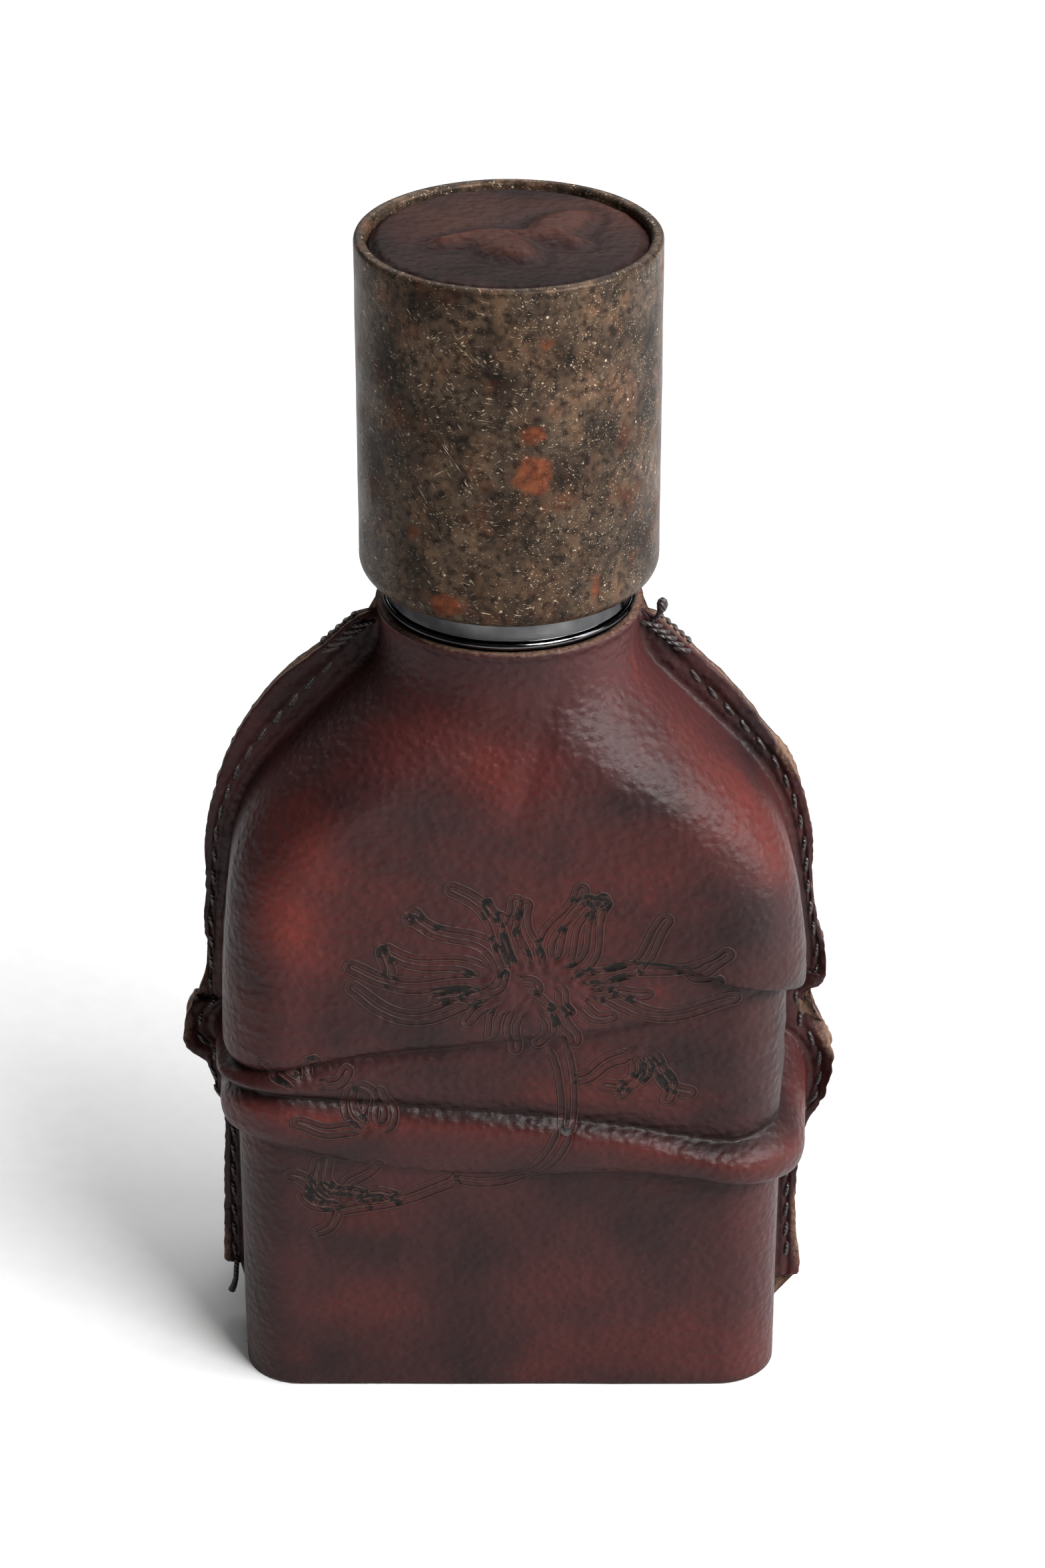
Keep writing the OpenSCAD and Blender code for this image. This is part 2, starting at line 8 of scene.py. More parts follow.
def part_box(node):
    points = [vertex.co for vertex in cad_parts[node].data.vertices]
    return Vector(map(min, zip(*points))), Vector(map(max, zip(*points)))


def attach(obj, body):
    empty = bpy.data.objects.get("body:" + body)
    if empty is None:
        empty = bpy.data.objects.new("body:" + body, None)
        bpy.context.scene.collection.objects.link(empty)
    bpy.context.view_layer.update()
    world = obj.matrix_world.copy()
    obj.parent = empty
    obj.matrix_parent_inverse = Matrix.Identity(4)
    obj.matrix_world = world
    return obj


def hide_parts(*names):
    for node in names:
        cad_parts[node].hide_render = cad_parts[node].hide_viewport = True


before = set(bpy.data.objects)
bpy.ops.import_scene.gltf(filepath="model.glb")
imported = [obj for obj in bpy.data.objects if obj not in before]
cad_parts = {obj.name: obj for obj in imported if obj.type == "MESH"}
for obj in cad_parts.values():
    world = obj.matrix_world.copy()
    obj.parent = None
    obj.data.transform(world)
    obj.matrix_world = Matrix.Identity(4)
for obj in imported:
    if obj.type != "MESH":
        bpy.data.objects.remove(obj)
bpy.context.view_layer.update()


# ---------------------------------------------------------------- glass bottle
# A heavy flat glass bottle, pressed in a mould and left clear. The leather jacket hides all
# of it but the neck's inside, and it stands on its thick base.

MM = 0.001


def new_finish(name, **settings):
    """A material, with its shader's constants set, and a function that adds a node to it."""
    material = bpy.data.materials.new(name)
    material.use_nodes = True
    tree = material.node_tree
    shader = tree.nodes["Principled BSDF"]

    def add(kind, sockets, **attributes):
        node = shader if kind == "shader" else tree.nodes.new("ShaderNode" + kind)
        for key, value in attributes.items():
            setattr(node, key, value)
        for socket, value in sockets.items():
            if isinstance(value, bpy.types.NodeSocket):
                tree.links.new(value, node.inputs[socket])
            else:
                node.inputs[socket].default_value = value
        return node

    add("shader", {key.replace("_", " "): value for key, value in settings.items()})
    return material, add


def place(add, stretch=(1, 1, 1)):
    """The piece's own coordinates in metres, stretched along the axes."""
    coords = add("TexCoord", {}).outputs["Object"]
    return add("Mapping", {"Vector": coords, "Scale": stretch}).outputs["Vector"]


def fog(add, where, size_mm, detail=3.0, low=0.35, high=0.65):
    """Soft noise with features of that size, brought to the range from 0 to 1."""
    field = add("TexNoise", {"Vector": where, "Scale": 1 / (size_mm * MM), "Detail": detail})
    return add("MapRange", {0: field.outputs["Fac"], 1: low, 2: high}).outputs[0]


def blend_of(add, share, one, other):
    """The colour one where share is 0, and other where it is 1."""
    return add("Mix", {0: share, 6: one, 7: other}, data_type="RGBA").outputs[2]


def times(add, a, b, operation="MULTIPLY"):
    return add("Math", {0: a, 1: b}, operation=operation, use_clamp=True).outputs[0]


def span(add, value, low, high, to_low=0.0, to_high=1.0):
    return add("MapRange", {0: value, 1: low, 2: high, 3: to_low, 4: to_high}).outputs[0]


def rough(add, height, depth_mm, strength=1.0, under=None):
    """A bump of that depth, on top of another bump."""
    sockets = {"Height": height, "Distance": depth_mm * MM, "Strength": strength}
    if under is not None:
        sockets["Normal"] = under
    return add("Bump", sockets).outputs["Normal"]


def surface(add, tint, dark, light, grain, dullness, relief):
    """Colour from dark to light by tint. Grain gives the roughness and a bump of (depth, strength)."""
    add("shader", {"Base Color": blend_of(add, tint, dark, light),
        "Roughness": span(add, grain, 0, 1, *dullness), "Normal": rough(add, grain, *relief)})


def dress(material, *nodes):
    """Gives CAD nodes that material."""
    for name in nodes:
        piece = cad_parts[name]
        if not piece.material_slots:
            piece.data.materials.append(material)
        for place_of in piece.material_slots:
            place_of.material = material


glass, add = new_finish("clear_glass", Transmission_Weight=1.0, IOR=1.52)
ripple = fog(add, place(add), 6, detail=1.0, low=0.0, high=1.0)
seeds = fog(add, place(add), 1.4, detail=2.0, low=0.66, high=0.7)
add("shader", {"Base Color": blend_of(add, ripple, (0.93, 0.97, 0.95, 1), (0.97, 0.99, 0.98, 1)),
    "Roughness": span(add, seeds, 0, 1, 0.01, 0.12), "Normal": rough(add, ripple, 0.03)})
dress(glass, "glass_bottle")


# ---------------------------------------------------------------- spray pump
# Stock pump parts: moulded natural plastic for the housing, stem, piston and dip tube, black
# rubber gaskets, steel ball and spring, and a bare aluminium ferrule crimped over the neck.

moulded, add = new_finish("natural_plastic", IOR=1.49, Subsurface_Weight=0.12,
    Subsurface_Scale=0.0012)
flow = fog(add, place(add, (1, 1, 0.25)), 3.0)
haze = fog(add, place(add), 0.5, detail=5.0)
surface(add, flow, (0.72, 0.71, 0.66, 1), (0.84, 0.83, 0.80, 1),
    haze, (0.28, 0.5), (0.02, 0.5))
dress(moulded, "pump_housing", "dip_tube", "pump_piston", "pump_stem", "nozzle_insert")

rubber, add = new_finish("gasket_rubber", IOR=1.5)
bloom = fog(add, place(add), 1.2, detail=5.0)
surface(add, bloom, (0.012, 0.012, 0.013, 1), (0.05, 0.048, 0.046, 1),
    bloom, (0.55, 0.85), (0.03, 0.7))
dress(rubber, "neck_gasket", "stem_gasket")

steel, add = new_finish("bright_steel", Metallic=1.0)
drawn = fog(add, place(add, (1, 1, 5)), 0.5, detail=4.0)
surface(add, drawn, (0.34, 0.35, 0.37, 1), (0.62, 0.63, 0.65, 1),
    drawn, (0.14, 0.34), (0.01, 0.5))
dress(steel, "inlet_ball", "return_spring")

aluminium, add = new_finish("bare_aluminium", Metallic=1.0)
rolled = fog(add, place(add, (1, 1, 9)), 0.9, detail=5.0)
dulled = fog(add, place(add), 5.0)
surface(add, dulled, (0.58, 0.58, 0.59, 1), (0.76, 0.76, 0.77, 1),
    rolled, (0.22, 0.42), (0.012, 0.6))
dress(aluminium, "crimp_ferrule", "pump_closure")


# ---------------------------------------------------------------- leather jacket
# Two panels of oiled oxblood leather, stretched wet over the glass and stitched together along
# a raw flange at each side. Below the chest the leather is slack and has slid down into folds:
# a lip at the right, a crease across the front, and a belt round the waist. Beneath the belt
# it lies tight. Each panel is one closed sheet, worked out at any height z and any way along s
# round the body, in millimetres, with s = 0 at the middle of the panel.

low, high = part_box("leather_front")
jacket_low, jacket_high = low.z / MM, high.z / MM
seat_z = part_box("neck_collar")[0].z / MM
body_w, body_d = 64.0, 34.0
corner_r = 6.2
land_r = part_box("neck_collar")[1].x / MM - 0.7
land_z = seat_z - 6.4
shoulder_r, shoulder_lean = 19.0, math.radians(44)
leather_t = 0.9
over_glass = 1.0
root_r = 0.9
slope_w = body_w / 2 - shoulder_r + shoulder_r * math.cos(shoulder_lean) - land_r
slope_z = land_z - slope_w / math.tan(shoulder_lean)
shoulder_z = slope_z - shoulder_r * math.sin(shoulder_lean)
chest_z = 62.0


def ease(t):
    t = np.clip(t, 0, 1)
    return t * t * (3 - 2 * t)


def along(points, x):
    """A smooth curve through a few (x, y) points."""
    px, py = np.array(points, float).T
    slope = np.gradient(py, px)
    i = np.clip(np.searchsorted(px, x) - 1, 0, len(px) - 2)
    h = px[i + 1] - px[i]
    t = np.clip((x - px[i]) / h, 0, 1)
    return ((1 + 2 * t) * (1 - t) ** 2 * py[i] + t * (1 - t) ** 2 * h * slope[i]
        + t * t * (3 - 2 * t) * py[i + 1] + t * t * (t - 1) * h * slope[i + 1])


def sharp_half_w(z):
    arc = body_w / 2 - shoulder_r + np.sqrt(np.maximum(shoulder_r ** 2 - (z - shoulder_z) ** 2, 0))
    straight = land_r + slope_w * (land_z - z) / (land_z - slope_z)
    wide = np.where(z <= shoulder_z, body_w / 2, np.where(z <= slope_z, arc, straight))
    return np.maximum(wide, land_r)


def half_w(z):
    """Half width of the glass, with the corner under the neck rounded by the leather."""
    return sum(sharp_half_w(z + step) for step in (-2.4, -1.2, 0, 1.2, 2.4)) / 5


def half_d(z):
    return body_d / 2 + (land_r - body_d / 2) * ease((z - slope_z) / (land_z - slope_z))


def round_r(z):
    """The glass's upright corners grow rounder from the chest up, until the neck is round."""
    share = ease((z - chest_z) / (land_z - chest_z))
    return np.minimum(corner_r + (land_r - corner_r) * share, np.minimum(half_w(z), half_d(z)))


def lumps(s, z, size_s, size_z, seed):
    """Soft noise from -1 to 1 over the panel."""
    flat = [noise.noise(Vector((a / size_s, b / size_z, seed)))
        for a, b in zip(s.ravel(), z.ravel())]
    return np.array(flat).reshape(s.shape)


def hill(d, above, below, power=1.0):
    """A roll's profile, 1 on its ridge, with its own reach above and below."""
    share = np.where(d > 0, d / above, -d / below)
    return (1 - np.minimum(1, share ** 2)) ** power


class Folds:
    """Where the slack leather of one panel lies, as curves of z along s."""

    def __init__(self, crease, crease_out, lip, lip_out, groove, belt, belt_out, belt_up, belt_down,
            roll_out):
        self.crease, self.crease_out = crease, crease_out
        self.lip, self.lip_out = lip, lip_out
        self.groove = groove
        self.belt, self.belt_out, self.belt_up, self.belt_down = belt, belt_out, belt_up, belt_down
        self.roll_out = roll_out

    def out_and_drop(self, s, z):
        """How far the leather stands off, and how far it hangs down past its own fold."""
        crease, groove = along(self.crease, s), along(self.groove, s)
        fade = 1 - ease((z - crease) / 34)
        rise = np.clip((z - crease) / 2.6, 0, 1)
        chest = along(self.crease_out, s) * np.sin(rise * math.pi / 2) * fade
        lip, lip_out = along(self.lip, s), np.maximum(along(self.lip_out, s), 0)
        over = np.clip((z - lip) / 2.2, 0, 1)
        lip_rise = lip_out * np.sqrt(1 - (1 - over) ** 2) * (1 - ease((z - lip - 1) / 26))
        middle = (crease + groove) / 2
        reach = np.maximum((crease - groove) / 2, 1.2)
        roll = along(self.roll_out, s) * hill(z - middle, reach, reach, 0.8)
        belt, belt_out = along(self.belt, s), along(self.belt_out, s)
        up, down = along(self.belt_up, s), along(self.belt_down, s)
        ridge = belt_out * hill(z - belt, up, down, 0.85)
        under = np.clip((belt - z) / down, 0, 1)
        drop = 0.45 * lip_out * np.sin(math.pi * over) + 0.3 * belt_out * np.sin(math.pi * under)
        drop += 0.3 * along(self.crease_out, s) * np.sin(math.pi * rise)
        return chest + lip_rise + roll + ridge, drop


front_folds = Folds(
    crease=[(-48, 46), (-37, 44.6), (-28.6, 45.7), (-18, 48), (-4.5, 49.6), (8, 50.9), (16.4, 53),
        (28, 56), (48, 57)],
    crease_out=[(-48, 2.4), (-37, 1.8), (-28, 1.5), (-18, 1.2), (-4, 0.85), (8, 0.5), (18, 0.35),
        (28, 0.2), (48, 0)],
    lip=[(-48, 62), (8, 61.4), (20.5, 60.2), (26, 58.5), (30, 57.2), (35, 55), (42, 51.6), (48, 49)],
    lip_out=[(-48, 0), (8, 0), (16, 0.3), (21, 0.9), (27, 1.5), (32, 2), (38, 2.6), (48, 2.8)],
    groove=[(-48, 38), (-42, 39.2), (-37, 41), (-31, 42.6), (-20, 41.8), (-7.6, 40.6), (5, 39.3),
        (17.4, 37.7), (25, 35.9), (31, 36.6), (37, 37.5), (48, 43)],
    belt=[(-48, 34.5), (-42, 36), (-37, 38), (-30, 39.9), (-20, 38.7), (-1.4, 37.8), (14.3, 36.1), (26, 33.6),
        (32, 32.8), (37, 32.2), (42, 33.4), (48, 36)],
    belt_out=[(-48, 2.8), (-37, 2.2), (-27, 1.5), (-10, 1.4), (5, 1.7), (18, 2.3), (27, 2.9), (37, 3.2),
        (48, 3.8)],
    belt_up=[(-48, 3.5), (-27, 3.1), (-10, 2.7), (5, 2.2), (20, 2), (27, 2.4), (37, 4.6), (48, 7)],
    belt_down=[(-48, 4.5), (-37, 4), (-27, 4.6), (-10, 6.6), (5, 6.2), (17, 4), (27, 2.8), (37, 4),
        (48, 6.5)],
    roll_out=[(-48, 3.2), (-37, 2.7), (-30, 2), (-20, 1.1), (-8, 0.7), (8, 0.5), (20, 0.3), (48, 0.2)])

# The back panel's folds start at the same loops, and run straighter in between
back_folds = Folds(
    crease=[(-48, 46), (-30, 47.5), (-8, 50), (14, 51.5), (30, 54), (48, 57)],
    crease_out=[(-48, 2.4), (-30, 1.4), (0, 1), (20, 0.5), (34, 0.3), (48, 0)],
    lip=[(-48, 60), (14, 59.4), (27, 57.6), (35, 54.6), (42, 51.6), (48, 49)],
    lip_out=[(-48, 0), (14, 0), (24, 0.8), (32, 1.7), (38, 2.4), (48, 2.8)],
    groove=[(-48, 38), (-37, 40.6), (-22, 41), (0, 40.4), (22, 38.6), (34, 37.4), (48, 43)],
    belt=[(-48, 34.5), (-37, 37.4), (-22, 37.8), (0, 37.6), (22, 35.4), (34, 33), (42, 33.6), (48, 36)],
    belt_out=[(-48, 2.8), (-30, 2), (0, 1.7), (22, 2.2), (36, 3), (48, 3.8)],
    belt_up=[(-48, 3.5), (-22, 3), (0, 2.6), (22, 2.6), (37, 4.4), (48, 7)],
    belt_down=[(-48, 4.5), (-22, 3.6), (0, 4.2), (22, 3.4), (37, 4), (48, 6.5)],
    roll_out=[(-48, 3.2), (-34, 2.2), (-20, 1), (0, 0.7), (20, 0.4), (48, 0.2)])

# Outline of the flange at each side: half widths at heights
flange_right = [(-1, 36), (3, 36.3), (6, 36.8), (10, 36.3), (20, 36), (26, 36.6), (30, 37.8),
    (34, 39.3), (38, 39.9), (42, 38.6), (45, 37.1), (46.4, 36.4), (47.6, 37.8), (51, 38.6), (57, 37.4),
    (61, 36.7), (68.4, 36.5), (72, 35.8), (75.8, 34.8), (79.4, 33.3), (83, 30.6), (86.6, 28.1),
    (90, 25.2), (93.6, 21.7), (97.3, 18), (101, 14)]
flange_left = [(-1, 36), (4, 36.4), (10, 36.2), (20, 35.9), (32, 36), (36.3, 37.4), (39.6, 39.8),
    (42.2, 40.1), (45.9, 38.8), (48.6, 37.4), (52, 36.9), (57.3, 37.2), (61, 36.8), (68.4, 36.7),
    (72, 36), (75.8, 35), (79.4, 33.8), (83, 32), (86.6, 29.7), (90, 26.9), (93.6, 22.6), (97, 18.9),
    (101, 14)]
flange_foot = {-1: 5.6, 1: 3.4}
flange_tip = 97.9
seam_gap = 0.03
corner_strips, flange_steps = 3, 12
edge_strips = corner_strips + flange_steps


def flange_share(side, z):
    """0 where the panels only meet edge to edge, 1 where their flange stands out."""
    foot = flange_foot[side]
    return ease((z - foot) / 1.4) * (1 - ease((z - flange_tip) / 1.3))


def sway(side, z):
    """How far the flange's edge leans to the front or back, most at its slack loops."""
    y = 0.5 * lumps(z, z, 9, 9, 3.1 + side) + 0.25 * lumps(z, z, 3, 3, 7.7 + side)
    if side < 0:
        return y - 1.9 * hill(z - 41.5, 5, 5) + 1.0 * hill(z - 48.5, 4, 3) + 0.6 * hill(z - 66, 6, 6)
    y = y - 1.7 * hill(z - 37, 4, 5) + 1.3 * hill(z - 44.5, 3, 3)
    return y - 0.9 * hill(z - 51, 4, 3.2) - 0.5 * hill(z - 79, 4, 4)


def body_lengths(z):
    """Lengths of a half panel's flat front, its corner and its side, at heights z."""
    flat = half_w(z) - round_r(z)
    corner = (round_r(z) + over_glass) * math.pi / 2
    side = half_d(z) - round_r(z)
    return flat, corner, side


def half_length(z):
    flat, corner, side = body_lengths(z)
    return flat + corner + side


def spare(side, z):
    """Room that the flange's root takes up before the seam plane."""
    share = flange_share(side, z)
    return (leather_t + root_r) * share + seam_gap


def outline_point(s, z, out):
    """x, y on the front half of the body's outline, grown by out past the glass, and its plan normal."""
    flat, corner, side = body_lengths(z)
    r = round_r(z)
    way = np.abs(s)
    turn = np.clip((way - flat) / (r + over_glass), 0, math.pi / 2)
    past = np.maximum(way - flat - corner, 0)
    hand = np.sign(s)
    normal_x, normal_y = hand * np.sin(turn), -np.cos(turn)
    x = hand * np.minimum(way, flat) + normal_x * (r + out)
    y = -(half_d(z) - r) + normal_y * (r + out) + past
    return x, y, normal_x, normal_y


def softness(s, z, seed):
    """Uneven lie of the leather, stronger over the slack parts."""
    slack = hill(z - 48, 22, 16, 0.5)
    wide = lumps(s, z, 17, 14, seed) * (0.1 + 0.22 * slack)
    fine = lumps(s, z, 5, 2.2, seed + 5) * (0.02 + 0.1 * slack)
    threads = lumps(s, z, 9, 0.75, seed + 9) * 0.05 * slack
    return wide + fine + threads


def skin_point(folds, seed, s, z, carve=None):
    """The outer face of the front half's leather, as points."""
    out, drop = folds.out_and_drop(s, z)
    out = out + softness(s, z, seed)
    pull = 0.35 * np.exp(-((s - 1.5 - (z - 82) * 0.3) / 1.6) ** 2) * hill(z - 88, 10, 12)
    out = out - pull * (seed == front_seed)
    if carve is not None:
        out = out - carve(s, z)
    flare = 0.5 * ease((z - jacket_high + 1.6) / 1.6)
    x, y, nx, ny = outline_point(s, z, over_glass + out + flare)
    return np.stack([x, y, z - drop], -1)


front_seed, back_seed = 1.3, 21.7

# Columns and rows of a panel: finer over the ornament than at the sides
ornament_s, ornament_z = (-28.0, 31.0), (24.0, 76.0)
body_columns = np.concatenate([np.linspace(-1, -0.6, 42, endpoint=False),
    np.linspace(-0.6, 0.66, 210, endpoint=False), np.linspace(0.66, 1, 37)])
rows = np.concatenate([np.linspace(jacket_low, ornament_z[0], 48, endpoint=False),
    np.linspace(ornament_z[0], ornament_z[1], 190, endpoint=False),
    np.linspace(ornament_z[1], jacket_high, 55)])


def panel_grid(folds, seed, carve):
    """Points of the outer face, from flange edge to flange edge, row by row, and the body's s and z."""
    f, z = np.meshgrid(body_columns, rows)
    room = np.where(f < 0, spare(-1, z), spare(1, z))
    s = f * (half_length(z) - room)
    body = skin_point(folds, seed, s, z, carve)
    strips = {}
    for side in (-1, 1):
        edge = body[:, 0 if side < 0 else -1]
        share = flange_share(side, rows)
        tip = along(flange_left if side < 0 else flange_right, rows)
        tip = tip + 0.22 * lumps(rows, rows, 1.3, 1.3, side + 9.0)
        root = root_r * share
        y_flat = -(leather_t * share + seam_gap)
        y_sway = sway(side, rows) * share
        columns = []
        for k in range(1, corner_strips + 1):
            turn = k / corner_strips * math.pi / 2
            x = edge[:, 0] + side * root * (1 - math.cos(turn))
            y = edge[:, 1] + (y_flat - edge[:, 1]) * math.sin(turn)
            columns.append(np.stack([x, y, edge[:, 2]], -1))
        start = columns[-1]
        reach = np.maximum(np.abs(tip) - np.abs(start[:, 0]), 0.04) * share + 0.02
        for k in range(1, flange_steps + 1):
            q = k / flange_steps
            swell = 0.12 * math.sin(math.pi * q) - 0.3 * math.exp(-((q - 0.45) / 0.12) ** 2)
            x = start[:, 0] + side * reach * q
            y = start[:, 1] + y_sway * q ** 1.4 - swell * share
            columns.append(np.stack([x, y, start[:, 2]], -1))
        strips[side] = np.stack(columns, 1)
    grid = np.concatenate([strips[-1][:, ::-1], body, strips[1]], 1)
    return grid, s, z


def new_piece(name, verts_mm, faces, material, body, smooth=True, wear_and_shade=None):
    """A mesh piece in place, on its body."""
    mesh = bpy.data.meshes.new(name)
    mesh.from_pydata((np.asarray(verts_mm) * MM).tolist(), [], faces)
    mesh.materials.append(material)
    if wear_and_shade is not None:
        layer = mesh.attributes.new("wear_and_shade", "FLOAT_COLOR", "POINT")
        layer.data.foreach_set("color", np.asarray(wear_and_shade, np.float32).ravel())
    if smooth:
        mesh.shade_smooth()
    mesh.validate()
    piece = bpy.data.objects.new(name, mesh)
    bpy.context.scene.collection.objects.link(piece)
    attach(piece, body)
    return piece


def spot(s, z, at_s, at_z, wide, tall, lean=0.0):
    """A soft oval patch."""
    u = (s - at_s) * math.cos(lean) + (z - at_z) * math.sin(lean)
    v = -(s - at_s) * math.sin(lean) + (z - at_z) * math.cos(lean)
    return np.exp(-(u / wide) ** 2 - (v / tall) ** 2)


def rub_and_fold_shade_of(folds, seed, s, z, patches):
    """Red rub (along the belt's ridge also a painted highlight) and painted shade in the creases and under
    the folds, as two shares for each point.
    """
    rub_and_highlight = sum(strength * spot(s, z, *patch) for strength, *patch in patches)
    rub_and_highlight = rub_and_highlight * (0.75 + 0.5 * lumps(s, z, 5, 4, seed + 2))
    belt = along(folds.belt, s)
    # Red along the top of the belt's ridge: rubbing, and a painted highlight.
    rub_and_highlight = rub_and_highlight + 0.35 * np.exp(-((z - belt - 0.6) / 1.4) ** 2)
    crease, groove, lip = along(folds.crease, s), along(folds.groove, s), along(folds.lip, s)
    lip_out = along(folds.lip_out, s)
    # Painted shade: darker in the groove, along the crease, under the lip and under the belt.
    dark = np.exp(-((z - groove) / 1.3) ** 2) + 0.6 * np.exp(-((z - crease + 0.3) / 0.8) ** 2)
    dark += np.clip(lip_out, 0, 1) * 0.7 * np.exp(-((z - lip + 0.2) / 0.8) ** 2)
    dark += 0.35 * np.exp(-((z - belt + along(folds.belt_down, s)) / 0.8) ** 2)
    return np.clip(rub_and_highlight, 0, 1), np.clip(dark, 0, 1)


def panel(name, folds, seed, facing, patches, material, carve=None):
    """One closed leather panel. facing is 1 for the front and -1 for the back."""
    grid, s, z = panel_grid(folds, seed, carve)
    n_rows, n_columns = grid.shape[:2]
    pad = edge_strips
    rub_and_highlight, dark = rub_and_fold_shade_of(folds, seed, s, z, patches)
    wear_and_shade = np.zeros((n_rows, n_columns, 4))
    wear_and_shade[:, pad:-pad, 0], wear_and_shade[:, pad:-pad, 1] = rub_and_highlight, dark
    # Painted shade darkens both flanges.
    wear_and_shade[:, :pad, 1] = wear_and_shade[:, -pad:, 1] = 0.3
    pale_right = sum(hill(rows - at, tall, tall) for at, tall in ((79, 3.4), (40, 3.5), (12, 9)))
    pale_left = sum(hill(rows - at, tall, tall) for at, tall in ((42, 3), (9, 5)))
    for k, shade in enumerate((0.8, 0.7, 0.6, 0.5, 0.3)):
        wear_and_shade[:, k, 2], wear_and_shade[:, -1 - k, 2] = shade * pale_left, shade * np.minimum(pale_right, 1)
    for k, shade in enumerate((0.42, 0.15)):
        wear_and_shade[-1 - k, :, 2] = np.maximum(wear_and_shade[-1 - k, :, 2], shade)
        wear_and_shade[k, :, 2] = np.maximum(wear_and_shade[k, :, 2], shade)

    # The cut edge all round, then the flesh side, as a coarser face
    def inner_points(which):
        zz = rows[which]
        f, zf = np.meshgrid(body_columns, zz)
        room = np.where(f < 0, spare(-1, zf), spare(1, zf))
        x, y, _, _ = outline_point(f * (half_length(zf) - room), zf, over_glass - leather_t + 0.05)
        body = np.stack([x, y, zf], -1)
        left, right = grid[which, :pad].copy(), grid[which, -pad:].copy()
        for strip, side in ((left, -1), (right, 1)):
            share = flange_share(side, zz)[:, None]
            strip[:, :, 1] += leather_t * share + 0.012
        return np.concatenate([left, body, right], 1)

    step = 12
    picks = sorted(set(list(range(0, n_rows, step)) + [n_rows - 1]))
    full = inner_points(np.arange(n_rows))
    verts, shades, index = [], [], {}

    def put(key, point, shade):
        if key not in index:
            index[key] = len(verts)
            verts.append(point)
            shades.append(shade)
        return index[key]

    for i in range(n_rows):
        for j in range(n_columns):
            put(("o", i, j), grid[i, j], wear_and_shade[i, j])
    # The flesh side is raw, and a little darker by painted shade.
    flesh = (0, 0.1, 1, 0)
    for i in range(n_rows):
        for j in range(n_columns):
            on_side = j in (0, n_columns - 1)
            if i in (0, n_rows - 1) or on_side or i in picks:
                put(("i", i, j), full[i, j], flesh)
    faces = []
    for i in range(n_rows - 1):
        for j in range(n_columns - 1):
            faces.append([index["o", a, b] for a, b in ((i, j), (i, j + 1), (i + 1, j + 1), (i + 1, j))])
    for lower, upper in zip(picks, picks[1:]):
        for j in range(n_columns - 1):
            left = [("i", lower, j), ("i", upper, j)]
            right = [("i", lower, j + 1), ("i", upper, j + 1)]
            if j == 0:
                left = [("i", i, j) for i in range(lower, upper + 1)]
            if j + 1 == n_columns - 1:
                right = [("i", i, j + 1) for i in range(lower, upper + 1)]
            faces.append([index[key] for key in left + right[::-1]])

    def cut_edge(a, b):
        faces.append([index[key] for key in (("o", *a), ("o", *b), ("i", *b), ("i", *a))])

    top, last = n_rows - 1, n_columns - 1
    for j in range(last):
        cut_edge((0, j + 1), (0, j))
        cut_edge((top, j), (top, j + 1))
    for i in range(top):
        cut_edge((i, 0), (i + 1, 0))
        cut_edge((i + 1, last), (i, last))
    verts = np.array(verts)
    if facing < 0:
        verts = verts * (1, -1, 1)
        faces = [face[::-1] for face in faces]
    return new_piece(name, verts, faces, material, "bottle", wear_and_shade=shades)


